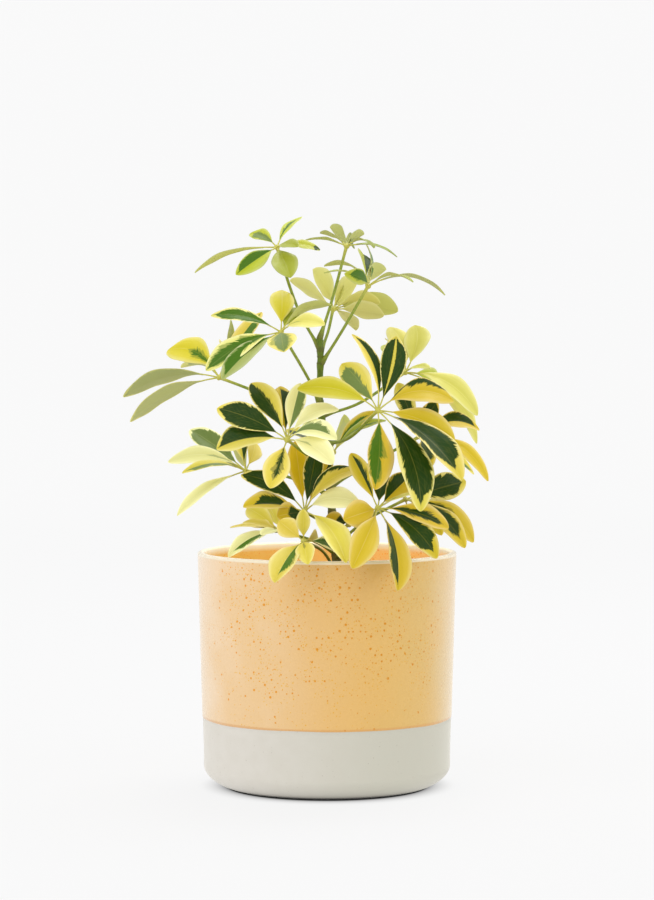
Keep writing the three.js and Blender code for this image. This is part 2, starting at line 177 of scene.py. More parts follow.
# Where the pot's colours change, in millimetres: by height, by distance sideways from the axis, and from
# left (-) to right (+). Some of these bound painted light and shade.
SPECKS_START = (55.0, 85.0)
SPECKS_THIN = (56.0, 72.0)
# The specks fade towards the sides under the painted reflection.
SPECKS_FADE = (64.0, 80.0)
# Painted reflection: the glaze pales towards the sides between these distances.
SIDE_REFLECTION = (58.0, 80.0)
GOLDEN_STARTS = (-55.0, -5.0)
GOLDEN_ENDS = (20.0, 62.0)
LEFT_TO_RIGHT = (-70.0, 50.0)
# Painted light inside the mouth lies between these heights.
INSIDE_HEIGHTS = (110.0, 120.0)
# Painted shade: the warm band above the foot's underside, and the dark contact shadow at its bottom.
FOOT_WARM_SHADE = (1.6, 4.0)
FOOT_SHADE = (0.9, 1.6)
# A speck pattern's cell width and the specks' size in millimetres.
BIG_SPECKS = {"Spacing": 3.8, "Size": 0.59}
SMALL_SPECKS = {"Spacing": 2.0, "Size": 0.34}
IRON_SPECKS = {"Spacing": 3.4, "Size": 0.2}

# The yellow part's colour by name, as seen in even light.
TINTS = {
    "gold": (0.87, 0.76, 0.25),
    "yellow": (0.91, 0.84, 0.39),
    "cream": (1.0, 0.98, 0.69),
    "lemon": (0.91, 0.89, 0.49),
    "mustard": (0.85, 0.81, 0.27),
    "amber": (0.93, 0.77, 0.10),
    "lime": (0.75, 0.77, 0.28),
    "pale": (0.88, 0.86, 0.46),
    "olive": (0.66, 0.69, 0.26),
    "moss": (0.57, 0.62, 0.20),
    "sage": (0.68, 0.72, 0.42),
}
# The green part's colour by name.
GREENS = {
    "dark": (0.14, 0.25, 0.01),
    "fresh": (0.28, 0.44, 0.06),
    # The grey green is partly painted sheen: leaflets whose gloss catches the white light look greyer.
    "grey": (0.45, 0.53, 0.28),
}
# Where a leaflet is green: how far out from the midrib its left and right halves are, looking from hub to
# tip, how wide a stripe along the midrib stays yellow, from which share of its length to which, how much of
# that is the paler middle tone, and how far in from the left (-) or right (+) margin another band of green
# reaches.
PATTERNS = {
    "none": (-0.2, -0.2, 0, 0.0, 1.0, 0.0, 0),
    "streak": (0.12, 0.14, 0, 0.0, 0.5, 0.5, 0),
    "full": (0.97, 0.97, 0, -0.1, 1.03, 0.1, 0),
    "both": (0.72, 0.72, 0, -0.05, 0.9, 0.3, 0),
    "both_slim": (0.45, 0.5, 0, 0.0, 0.9, 0.2, 0),
    "half_base": (0.8, 0.8, 0, -0.05, 0.6, 0.35, 0),
    "left_base": (0.97, 0.3, 0, -0.05, 0.95, 0.15, 0),
    "left_jag": (0.95, 0.12, 0, -0.05, 1.1, 0.1, 0),
    "patch": (0.5, 0.4, 0, 0.0, 0.62, 0.5, 0),
    "central": (0.42, 0.3, 0, -0.05, 0.85, 0.4, 0),
    "long": (0.62, 0.72, 0, -0.05, 1.08, 0.4, 0),
    "teeth": (-0.1, 0.62, 0, -0.05, 0.85, 0.1, 0),
    "right_broad": (0.72, 0.97, 0, -0.05, 0.95, 0.1, 0),
    "left": (0.98, -0.1, 0, -0.05, 1.0, 0.2, 0),
    "right": (-0.1, 0.98, 0, -0.05, 1.0, 0.2, 0),
    "left_more": (0.95, 0.4, 0, -0.05, 0.9, 0.25, 0),
    "right_more": (0.4, 0.95, 0, -0.05, 0.9, 0.25, 0),
    "right_strip": (0.3, 0.97, 0, -0.05, 1.0, 0.3, 0),
    "left_wide": (0.75, -0.1, 0, -0.05, 0.9, 0.3, 0),
    "left_broad": (0.97, 0.88, 0, -0.05, 0.93, 0.1, 0),
    "left_slim": (0.45, -0.1, 0, 0.0, 0.85, 0.2, 0),
    "wide": (0.95, 0.74, 0, -0.05, 0.97, 0.1, 0),
    "right_slim": (-0.1, 0.5, 0, 0.0, 1.0, 0.2, 0),
    "left_edge": (-0.2, -0.2, 0, 0.1, 1.0, 0.2, -0.42),
    "stripe": (0.97, 0.97, 0.12, -0.05, 1.05, 0.05, 0),
    "tip": (0.9, 0.9, 0, 0.8, 1.1, 0.0, 0),
}

# How far forward the side veins slant, how many there are in a blade's length, and how softly a marking
# begins and ends, in shares of the half-width.
VEIN_SLANT = 0.26
SIDE_VEINS = 13.0
MARK_SOFTNESS = (-0.012, 0.02)

# Each leaf: its node's name, its hub, the height where it leaves the stem, one place that its stalk passes,
# and its leaflets. A leaflet is its tip's place, its width, its turn, arch, bend and fold, and its
# markings. Turned by 0 degrees it shows its top to the viewer, by 90 its edge; a positive turn leans the
# top to the clockwise side of the way it points. The arch is the midrib's rise at the middle and the bend
# its sway to the clockwise side, in hundredths of the length. The fold is the slope at which the halves
# rise from the midrib, in hundredths. Places are as seen from the viewpoint in the upright plane through
# the pot's axis, with the true depth in the middle.
LEAVES = [
    ["leaf_top_left", [-31.8, -14, 342.2], 277, [-17.5, 5, 301], [
        [-83.9, -8, 326, 12, 106, 9, -2, 25, "none lime fresh"],
        [-57.8, -46, 324.8, 12.5, 8, 8, 0, 30, "right lime fresh"],
        [-23.2, -52, 322.9, 17, -12, 6, 0, 25, "none olive fresh"],
        [-48.9, -2, 350.5, 11, 35, 12, 5, 30, "left_more lime grey"],
        [-15.9, 16, 361.2, 9.5, -52, 6, -3, 25, "left_slim lime fresh"],
        [-4.4, -14, 340.3, 10, -55, 12, 0, 25, "tip lime dark"],
        [-18.4, -40, 342.5, 10, -55, 8, 0, 25, "none olive fresh"]]],
    ["leaf_top", [12.4, 4, 342.8], 284, [3, 1, 308], [
        [2, 34, 354.9, 13, 118, 9, 4, 25, "none moss fresh"],
        [-4.4, 22, 351.1, 9, 102, 9, 0, 15, "none moss fresh"],
        [-14.6, -4, 346.3, 10, 98, 10, 0, 25, "streak moss fresh"],
        [23.5, 32, 350.5, 11, -112, 9, -3, 30, "none moss fresh"],
        [29.9, -14, 341.6, 9, -96, 20, 0, 25, "streak moss fresh"],
        [44.5, 6, 335.9, 10, -80, 14, 0, 25, "none moss fresh"],
        [12, 42, 347, 11, 80, 10, 0, 25, "both moss fresh"]]],
    ["leaf_top_right", [26.1, -4, 317.5], 267, [8.9, -2, 288], [
        [11.1, -38, 325.4, 10.5, 12, 8, 5, 25, "right_more lime fresh"],
        [-1.9, 24, 330.2, 9, 96, 18, 0, 20, "streak olive fresh"],
        [-1.9, -12, 325.7, 8, 92, 17, 0, 20, "none olive fresh"],
        [24.2, 50, 345, 8, 72, 6, 0, 20, "both olive fresh"],
        [22.9, 38, 337.1, 13, 50, 10, -12, 30, "right lime dark"],
        [37.5, 30, 328.2, 14, -122, 13, 0, 30, "none olive grey"],
        [75, 4, 311.7, 12, -99, 19, 0, 25, "full olive grey"],
        [54.7, -22, 320, 11, -100, 18, 0, 25, "none olive grey"]]],
    ["leaf_top_back", [3.8, 24, 302.8], 276, [0.5, 12, 288], [
        [-23.5, 42, 321.2, 15, 125, 6, 0, 25, "none pale grey"],
        [-8.9, 52, 328.2, 17, 135, 6, -4, 25, "none pale grey"],
        [19.7, 56, 321.2, 18, -135, 8, 0, 30, "none pale grey"],
        [6.4, 54, 320.9, 11, 118, 8, 0, 25, "none lime grey"],
        [45.1, 44, 301.6, 22, -138, 12, 0, 25, "none lime grey"],
        [36.2, 22, 299, 17, -135, 8, 0, 25, "none pale grey"],
        [18.4, 62, 289.5, 12, -125, 8, 0, 25, "none pale grey"],
        [33.7, 33, 306.7, 17, -128, 16, 0, 25, "none pale grey"]]],
    ["leaf_upper_left", [-29.2, -26, 288.4], 243, [-12, -12, 259], [
        [-28.6, 2, 314.8, 16, 5, 10, 0, 18, "none mustard fresh"],
        [2.5, -22, 305.7, 14, -115, 18, 0, 25, "none olive grey"],
        [-1.3, -40, 292.9, 15, -55, 18, 0, 25, "streak lemon fresh"],
        [-27.3, -58, 275.8, 19, 0, 8, 0, 20, "long yellow grey"],
        [-73.7, -24, 298.7, 14, 52, 12, 0, 25, "wide lemon fresh"],
        [-76.9, -44, 263.9, 18, 38, 12, 0, 25, "long lemon fresh"],
        [-66.7, -56, 258.3, 17, 42, 8, 0, 40, "right sage fresh"],
        [-19, -8, 303.5, 12, -20, 8, 0, 25, "none olive fresh"]]],
    ["leaf_far_left", [-68.6, 8, 259.6], 226, [-40, 6, 248], [
        [-129.6, 12, 247.2, 20, 122, 14, 0, 20, "full pale grey"],
        [-125.2, -12, 231.5, 19, 122, 10, 0, 20, "full pale grey"],
        [-101.1, 30, 276.7, 22, 26, 14, 12, 20, "patch mustard fresh"],
        [-92.8, 44, 265.9, 10, 100, 12, 0, 25, "both lemon fresh"],
        [-61, 38, 295.9, 12, 62, 6, 0, 25, "none olive fresh"],
        [-41.3, 34, 300.9, 15, -42, 6, 0, 25, "right yellow fresh"],
        [-67.4, 50, 281.9, 14, 50, 10, 0, 25, "none yellow fresh"]]],
    ["leaf_front_left", [-25.4, -44, 219.9], 209, [-10, -22, 209], [
        [-70.2, -46, 213.9, 28, 54, 10, 2, 42, "right yellow dark"],
        [-69.9, -38, 239.8, 18, 18, 7, 4, 20, "full yellow dark"],
        [-48.3, -20, 255.8, 17, 5, 6, 6, 35, "left_jag yellow dark"],
        [-29.8, -13, 253.8, 15, 0, 6, 0, 30, "right gold dark"],
        [-16.8, -22, 255.8, 13, -8, 5, 0, 25, "right cream grey"],
        [7.3, -36, 239.2, 15, -46, 22, 0, 35, "none cream grey"],
        [6.4, -54, 220.2, 18, -48, 22, -4, 45, "left_wide cream grey"],
        [3.8, -66, 204.3, 19, -36, 13, -3, 42, "streak cream grey"],
        [-36.2, -68, 189, 17.5, 8, 5, 0, 30, "central yellow dark"]]],
    ["leaf_front_right", [32.4, -40, 238.6], 217, [14, -20, 221], [
        [-18.8, -44, 252.3, 17.5, 38, 13, 5, 20, "none mustard fresh"],
        [9.5, -20, 268.2, 18, 5, 8, 4, 25, "left_base yellow grey"],
        [15.9, -14, 286.9, 11, 36, 10, 7, 40, "right yellow dark"],
        [43.9, -16, 285.6, 17, 0, 6, 4, 25, "stripe yellow dark"],
        [80.4, -34, 244.4, 21, -42, 18, -9, 20, "left_edge gold dark"],
        [81.4, -40, 218.9, 20, -32, 10, -4, 25, "none gold dark"],
        [85.8, -72, 194, 27, -54, 8, -4, 50, "left_broad yellow dark"],
        [59.7, -76, 174.2, 24, -32, 8, -7, 38, "wide yellow dark"],
        [30.3, -74, 188.1, 21, -30, 6, 0, 40, "right_strip gold fresh"]]],
    ["leaf_right_back", [49.6, 22, 262.8], 235, [20, 10, 243], [
        [36.9, 40, 284.3, 9, 70, 8, 0, 20, "none pale fresh"],
        [40, 48, 291.4, 17, 20, 7, 8, 20, "none pale fresh"],
        [56, 46, 292.6, 19, -30, 7, 14, 20, "none pale fresh"],
        [95.7, 14, 235.4, 19, -45, 15, -6, 20, "none pale fresh"],
        [95.3, 36, 217.6, 16, -45, 14, -7, 20, "none pale fresh"],
        [65.5, -8, 265.3, 8, -75, 8, 0, 20, "none pale fresh"],
        [36, 54, 280, 12, 30, 8, 0, 25, "none lime fresh"],
        [74, 60, 252, 17, -45, 12, 0, 20, "none lime fresh"]]],
    ["leaf_middle_back", [4, 20, 212], 200, [3, 9, 204], [
        [32, 26, 238, 13, -55, 10, 0, 35, "left_slim gold fresh"],
        [37.5, 16, 232, 12, -65, 14, 0, 30, "right_slim olive fresh"],
        [11, 48, 236, 12, 140, 10, 0, 25, "both olive grey"],
        [-26, 40, 226, 13, 50, 10, 0, 25, "left yellow dark"],
        [-8, 66, 214, 15, 30, 8, 0, 25, "both yellow dark"],
        [4, 70, 220, 14, -10, 8, 0, 25, "full yellow dark"]]],
    ["leaf_right", [59, 12, 222], 190, [28, 8, 205], [
        [96.8, 24, 226.2, 16, -45, 20, -6, 40, "left gold dark"],
        [102.6, -6, 193.5, 12, -45, 15, -8, 20, "none gold dark"],
        [93.4, 26, 197.9, 11, -60, 8, 0, 25, "right yellow fresh"],
        [45, 28, 256, 13, 0, 8, 0, 25, "both yellow dark"],
        [70, 2, 244.5, 13, -20, 8, 0, 25, "full gold dark"],
        [65.5, -14, 202, 12, -20, 8, 0, 25, "both gold dark"],
        [62, 58, 208, 14, -20, 8, 0, 25, "both yellow dark"]]],
    ["leaf_low_right", [32.4, -56, 176.3], 145, [20, -28, 157], [
        [15.2, -40, 211.3, 13, 10, 6, 0, 40, "right_slim gold dark"],
        [35.6, -36, 199.8, 12, 0, 5, 0, 25, "full gold dark"],
        [53.4, -38, 197.3, 17, -10, 6, 0, 30, "left gold dark"],
        [57.8, -48, 185.9, 8, -70, 8, 0, 20, "streak pale grey"],
        [77.5, -56, 163.6, 16, -38, 14, 0, 30, "both_slim gold dark"],
        [70.2, -70, 144.3, 18, -30, 10, -6, 30, "right_broad gold dark"],
        [44.8, -97, 123.6, 21, -48, 8, -3, 50, "right gold dark"],
        [15.9, -102, 137.8, 18, -6, 7, 0, 30, "none gold dark"],
        [10.5, -78, 169, 19, 8, 10, 0, 22, "none gold dark"]]],
    ["leaf_low_right_back", [50, 4, 182], 152, [24, 2, 168], [
        [93.4, 0, 154.7, 18, -40, 15, -6, 25, "patch gold dark"],
        [88, -20, 150.9, 17, -44, 12, -4, 25, "both gold dark"],
        [73.1, -34, 159, 15, -35, 12, 0, 25, "none gold dark"],
        [88.3, 20, 193.5, 19, -15, 6, 0, 25, "wide yellow dark"],
        [80, 40, 168, 15, -40, 10, 0, 25, "both yellow dark"],
        [52, 52, 172, 15, 0, 8, 0, 25, "left_more yellow dark"]]],
    ["leaf_low_front", [-14.3, -42, 174.1], 171, [-4, -18, 169], [
        [-54.7, -36, 197.5, 14, 24, 8, 9, 25, "full yellow dark"],
        [-20.3, -12, 218.9, 14, 0, 6, 0, 30, "none amber dark"],
        [-6.4, -32, 215, 13, 4, 6, 0, 30, "full gold dark"],
        [2.5, -20, 207.4, 11, 0, 6, 0, 30, "right gold dark"],
        [19.7, -36, 200.4, 17, -48, 20, 0, 40, "left_edge yellow dark"],
        [21, -54, 179.5, 17, -42, 18, -6, 20, "none cream dark"],
        [12, -97, 141.4, 20, -44, 9, -3, 50, "none yellow dark"],
        [-53.4, -48, 177, 22, 62, 9, 0, 50, "teeth gold dark"],
        [-31.8, -50, 171.2, 16, 12, 8, 0, 25, "half_base gold dark"]]],
    ["leaf_low_left", [-29.2, -18, 161.1], 148, [-10, -8, 156], [
        [-61.7, -24, 163.9, 9, 80, 8, 0, 20, "none yellow fresh"],
        [-53.4, -2, 167.1, 12, 55, 8, 0, 20, "none yellow fresh"],
        [-62.9, -36, 145, 13, 50, 13, 3, 40, "left_wide cream fresh"],
        [-50.8, 12, 176.3, 13, 25, 8, 0, 25, "none yellow fresh"],
        [-37.5, 10, 178.9, 13, 10, 8, 0, 25, "none yellow fresh"],
        [-42, -46, 159.2, 9, 75, 8, 0, 20, "streak cream grey"],
        [-50, 34, 167, 11, 60, 8, 0, 25, "none yellow fresh"]]],
    ["leaf_rim_front", [-14.8, -70, 155.2], 133, [-2, -30, 148], [
        [-33.4, -112, 128.7, 19, 38, 8, 0, 50, "left_wide yellow fresh"],
        [-12, -106, 140.4, 12.5, 0, 9, 0, 20, "streak yellow dark"],
        [-30.5, -61, 168, 14, 10, 6, 0, 25, "none yellow fresh"],
        [-15.3, -76, 175.7, 9, 0, 6, 0, 25, "none yellow fresh"],
        [-6.5, -34, 160, 8, 0, 6, 0, 25, "none yellow fresh"],
        [5.7, -42, 149.6, 11, -45, 12, 0, 30, "both cream fresh"]]],
    ["leaf_left", [-51.8, 4, 200.1], 184, [-24, 2, 196], [
        [-101.1, 4, 205.8, 15.5, 45, 17, 4, 20, "streak cream grey"],
        [-92.2, -14, 198.6, 12, 68, 14, 0, 25, "left yellow grey"],
        [-95.3, -6, 171.5, 12, 52, 10, 0, 35, "none cream grey"],
        [-87, 34, 226.2, 17, 30, 5, 0, 40, "full cream grey"],
        [-61.7, 40, 219, 16, 130, 8, 0, 25, "none olive grey"],
        [-46.4, 36, 218.9, 13, 30, 8, 0, 25, "none yellow grey"],
        [-56.6, 30, 230, 12, 0, 8, 0, 25, "right yellow dark"],
        [-80, 52, 205, 11, 60, 8, 0, 25, "both yellow grey"]]],
    ["leaf_young", [14, -16, 166], 160, [8, -8, 162], [
        [-1, -24, 170, 11, 25, 10, 0, 25, "half_base gold dark"],
        [22, -32, 172, 8, -40, 8, 0, 25, "none lime fresh"],
        [26, -8, 172, 8, -40, 8, 0, 25, "none lime fresh"]]],
]


def linear(colour):
    """The light value of a screen colour: each channel to the power 2.2."""
    return tuple(channel ** 2.2 for channel in colour[:3]) + (1.0,)


class Graph:
    """Adds nodes to a material or a node group by short calls, and joins them."""

    def __init__(self, tree):
        self.tree = tree

    def put(self, socket, value):
        if isinstance(value, bpy.types.NodeSocket):
            self.tree.links.new(value, socket)
        elif value is not None:
            socket.default_value = value

    def add(self, kind, inputs=(), **settings):
        node = self.tree.nodes.new(kind)
        for key, value in settings.items():
            setattr(node, key, value)
        for key, value in dict(inputs).items():
            self.put(node.inputs[key], value)
        return node

    def maths(self, operation, a, b=None):
        inputs = {0: a} if b is None else {0: a, 1: b}
        return self.add("ShaderNodeMath", inputs, operation=operation).outputs[0]

    def plus(self, a, b):
        return self.maths("ADD", a, b)

    def minus(self, a, b):
        return self.maths("SUBTRACT", a, b)

    def times(self, a, b):
        return self.maths("MULTIPLY", a, b)

    def ramp(self, value, low, high, out_low=0.0, out_high=1.0):
        """A smooth step from out_low to out_high as the value goes from low to high."""
        inputs = {"Value": value, "From Min": low, "From Max": high, "To Min": out_low, "To Max": out_high}
        return self.add("ShaderNodeMapRange", inputs, interpolation_type="SMOOTHSTEP").outputs[0]

    def blend(self, share, a, b):
        """Colour a where the share is 0 and b where it is 1."""
        node = self.add("ShaderNodeMix", {0: share, 6: a, 7: b}, data_type="RGBA")
        return node.outputs[2]

    def noise(self, place, scale, detail=3.0, rough=0.5, dimensions="3D"):
        key = "W" if dimensions == "1D" else "Vector"
        inputs = {key: place, "Scale": scale, "Detail": detail, "Roughness": rough}
        return self.add("ShaderNodeTexNoise", inputs, noise_dimensions=dimensions).outputs["Fac"]

    def split(self, vector):
        return self.add("ShaderNodeSeparateXYZ", {0: vector}).outputs

    def attribute(self, name):
        return self.add("ShaderNodeAttribute", attribute_name=name).outputs

    def group(self, tree, **inputs):
        node = self.tree.nodes.new("ShaderNodeGroup")
        node.node_tree = tree
        for key, value in inputs.items():
            self.put(node.inputs[key], value)
        return node.outputs


def new_group(name, inputs, outputs):
    """A shader node group with the given sockets, its graph, and its input and output nodes."""
    tree = bpy.data.node_groups.new(name, "ShaderNodeTree")
    for socket, kind in inputs:
        tree.interface.new_socket(socket, in_out="INPUT", socket_type="NodeSocket" + kind)
    for socket, kind in outputs:
        tree.interface.new_socket(socket, in_out="OUTPUT", socket_type="NodeSocket" + kind)
    graph = Graph(tree)
    return tree, graph, graph.add("NodeGroupInput").outputs, graph.add("NodeGroupOutput").inputs


def new_material(name):
    """A material with its graph and its Principled shader."""
    material = bpy.data.materials.new(name)
    material.use_nodes = True
    return material, Graph(material.node_tree), material.node_tree.nodes["Principled BSDF"]


def millimetres(graph):
    """Object coordinates counted in millimetres."""
    place = graph.add("ShaderNodeTexCoord").outputs["Object"]
    return graph.add("ShaderNodeVectorMath", {0: place, "Scale": 1 / MM}, operation="SCALE").outputs[0]


def speckle_group():
    """Round specks of uneven size: the middle of each cell of a cell pattern, where the cell's own random
    number and a slow noise let a speck stand."""
    tree, graph, given, out = new_group(
        "specks", [("Place", "Vector"), ("Spacing", "Float"), ("Size", "Float"), ("Share", "Float")],
        [("Mask", "Float")])
    scale = graph.maths("DIVIDE", 1.0, given["Spacing"])
    cells = graph.add("ShaderNodeTexVoronoi", {"Vector": given["Place"], "Scale": scale, "Randomness": 1.0},
                      voronoi_dimensions="2D")
    chance = graph.split(cells.outputs["Color"])
    patchy = graph.noise(given["Place"], 0.05, 2.0)
    allowed = graph.times(given["Share"], graph.ramp(patchy, 0.36, 0.58, 0.08, 1.5))
    stands = graph.maths("LESS_THAN", chance[0], allowed)
    uneven = graph.plus(0.5, graph.maths("POWER", chance[1], 2.5))
    radius = graph.times(given["Size"], uneven)
    away = graph.times(cells.outputs["Distance"], given["Spacing"])
    inside = graph.ramp(graph.minus(radius, away), -0.05, 0.12)
    graph.put(out["Mask"], graph.times(stands, inside))
    return tree


def pot_places(graph):
    """Places on the pot in millimetres: the point and its parts, its distance sideways and from the axis,
    the wall unrolled flat, which is the angle times the rim's radius, by the height, and the share from the
    pot's left to its right."""
    place = millimetres(graph)
    x, y, height = graph.split(place)
    angle = graph.maths("ARCTAN2", x, graph.times(y, -1.0))
    around = graph.times(angle, RIM_RADIUS / MM)
    flat = graph.add("ShaderNodeCombineXYZ", {0: x, 1: y}).outputs[0]
    return {
        "point": place, "x": x, "y": y, "height": height,
        "sideways": graph.maths("ABSOLUTE", x),
        "off_axis": graph.add("ShaderNodeVectorMath", {0: flat}, operation="LENGTH").outputs["Value"],
        "unrolled": graph.add("ShaderNodeCombineXYZ", {0: around, 1: height}).outputs[0],
        "to_right": graph.ramp(x, *LEFT_TO_RIGHT),
    }


def pot_colour(graph, at, name):
    """The named colour of the pot, blended from its left to its right."""
    left, right = POT_COLOURS[name]
    return graph.blend(at["to_right"], linear(left), linear(right))


def pot_tone(name):
    return linear(POT_TONES[name])


def glaze_colour(graph, at, specks, lip):
    """The glaze: warm, lighter on the left partly as painted light, golden in the middle and paler towards
    the two sides as seen from the front, a painted reflection of the white surroundings, slightly cloudy,
    brighter and deeper orange inside the mouth as painted light, pale on the lip and darker along its lower
    edge. Its orange-brown specks have two sizes. They are few low on the wall, and fewer towards its two
    sides, and fainter there under the painted reflection."""
    # Lighter on the left: partly the glaze's own hue, partly painted light.
    warm = pot_colour(graph, at, "glaze")
    golden = graph.times(graph.ramp(at["x"], *GOLDEN_STARTS, 0.0, 0.26),
                         graph.ramp(at["x"], *GOLDEN_ENDS, 1.0, 0.0))
    warm = graph.blend(golden, warm, pot_tone("golden_glaze"))
    # Painted reflection: the glaze pales towards the sides as seen from the front.
    reflection_share = graph.ramp(at["sideways"], *SIDE_REFLECTION, 0.0, 0.32)
    warm = graph.blend(reflection_share, warm, pot_colour(graph, at, "side_reflection_glaze"))
    cloud = graph.ramp(graph.noise(at["point"], 0.03, 3.0), 0.35, 0.65, 0.0, 0.3)
    warm = graph.blend(cloud, warm, pot_tone("cloudy_glaze"))
    # Painted light: a brighter, deeper orange glaze inside the mouth, for the light that the walls throw to
    # each other.
    inside = graph.ramp(at["off_axis"], RIM_RADIUS / MM - 3.5, RIM_RADIUS / MM - 5)
    inside = graph.times(inside, graph.ramp(at["height"], *INSIDE_HEIGHTS))
    warm = graph.blend(inside, warm, pot_colour(graph, at, "inner_bounce_glaze"))

    share = graph.times(graph.ramp(at["height"], *SPECKS_START, 0.25, 1.0),
                        graph.ramp(at["sideways"], *SPECKS_THIN, 1.0, 0.25))
    # Fainter towards the sides, washed out by the painted reflection.
    strength = graph.ramp(at["sideways"], *SPECKS_FADE, 1.0, 0.3)
    glaze = warm
    for name, sizes, most, strongest in (("small_speck", SMALL_SPECKS, 0.9, 0.85),
                                         ("big_speck", BIG_SPECKS, 0.6, 0.97)):
        stands = graph.times(share, most)
        mask = graph.group(specks, Place=at["unrolled"], Share=stands, **sizes)["Mask"]
        mask = graph.times(mask, graph.times(strength, strongest))
        glaze = graph.blend(mask, glaze, pot_colour(graph, at, name))
    glaze = graph.blend(lip, glaze, pot_tone("lip_glaze"))
    from_edge = graph.maths("ABSOLUTE", graph.minus(at["height"], GLAZE_EDGE / MM + 0.5))
    edge_line = graph.ramp(from_edge, 0.4, 1.5, 1.0, 0.0)
    return graph.blend(graph.times(edge_line, 0.55), glaze, pot_tone("glaze_edge"))


def clay_colour(graph, at, specks, grain):
    """The bare clay: pale grey, lighter on the left partly as painted light, with faint patches, darker
    grains and fine iron specks, a painted warm shade just above the foot's underside and a painted dark
    shadow where the foot meets what it stands on."""
    patch = graph.noise(at["point"], 0.12, 3.0)
    iron = graph.group(specks, Place=at["unrolled"], Share=0.3, **IRON_SPECKS)["Mask"]
    # Lighter on the left: partly the clay's own tone, partly painted light.
    clay = pot_colour(graph, at, "clay")
    for share, name in (
            (graph.ramp(patch, 0.3, 0.7, 0.0, 0.16), "clay_patch"),
            (graph.ramp(grain, 0.62, 0.8, 0.0, 0.18), "clay_grain"),
            (graph.times(iron, 0.45), "clay_iron"),
            # Painted shade: warmer and darker just above the foot's underside, then a dark contact shadow at
            # its bottom.
            (graph.ramp(at["height"], *FOOT_WARM_SHADE, 0.12, 0.0), "foot_warm_shade"),
            (graph.ramp(at["height"], *FOOT_SHADE, 1.0, 0.0), "foot_shade")):
        clay = graph.blend(share, clay, pot_tone(name))
    return clay


def pot_material(specks):
    """Satin orange glaze with orange-brown specks above a wavering edge, and bare pale stoneware below it.
    The inside and the lip's inner half glow a little: painted light for the light that the walls throw to
    each other."""
    material, graph, shader = new_material("pot_stoneware")
    at = pot_places(graph)
    glazed = graph.attribute("glazed")["Fac"]
    lip = graph.attribute("lip")["Fac"]
    grain = graph.noise(at["point"], 1.6, 4.0, 0.7)
    colour = graph.blend(glazed, clay_colour(graph, at, specks, grain), glaze_colour(graph, at, specks, lip))
    graph.put(shader.inputs["Base Color"], colour)
    waxy = graph.ramp(graph.noise(at["point"], 0.25, 3.0), 0.3, 0.7, 0.24, 0.3)
    dry = graph.ramp(grain, 0.3, 0.7, 0.72, 0.86)
    rough = graph.add("ShaderNodeMix", {0: glazed, 2: dry, 3: waxy})
    graph.put(shader.inputs["Roughness"], rough.outputs[0])
    relief = graph.times(grain, graph.minus(1.0, glazed))
    bump = graph.add("ShaderNodeBump", {"Height": relief, "Strength": 0.25, "Distance": 0.08 * MM})
    graph.put(shader.inputs["Normal"], bump.outputs[0])

    # Painted light: the inside and the lip's inner half glow, more towards the back.
    bounced = graph.ramp(at["off_axis"], RIM_RADIUS / MM - 1.5, RIM_RADIUS / MM - 3.5)
    bounced = graph.times(bounced, graph.ramp(at["height"], *INSIDE_HEIGHTS))
    bounced = graph.times(bounced, graph.ramp(at["y"], -60.0, 20.0, 0.3, 1.0))
    glow = graph.blend(lip, pot_colour(graph, at, "inner_glow"), pot_tone("lip_glow"))
    graph.put(shader.inputs["Emission Color"], glow)
    graph.put(shader.inputs["Emission Strength"], graph.times(bounced, 0.8))
    shader.inputs["Specular IOR Level"].default_value = 0.3
    shader.inputs["Sheen Weight"].default_value = 0.68
    shader.inputs["Sheen Roughness"].default_value = 0.4
    shader.inputs["Sheen Tint"].default_value = (1.0, 0.98, 0.93, 1)
    return material


def signed_noise(graph, place, scale, detail, rough, dimensions="3D"):
    return graph.minus(graph.noise(place, scale, detail, rough, dimensions), 0.5)


def blade_places(graph, given):
    """Places on a blade: the share of its length, how far out from the midrib, on which half, the half's
    own seed, a place for noises, and a number that stays the same along each side vein: the share of the
    length, less a part of the way out, because the veins slant forward."""
    along, across = given["Along"], given["Across"]
    out = graph.maths("ABSOLUTE", across)
    on_right = graph.maths("GREATER_THAN", across, 0.0)
    seed = graph.plus(given["Seed"], graph.times(on_right, 5.3))
    spot = graph.add("ShaderNodeCombineXYZ", {0: graph.plus(along, seed), 1: across}).outputs[0]
    vein = graph.minus(along, graph.times(out, VEIN_SLANT))
    return {"along": along, "out": out, "on_right": on_right, "seed": seed, "spot": spot, "vein": vein}


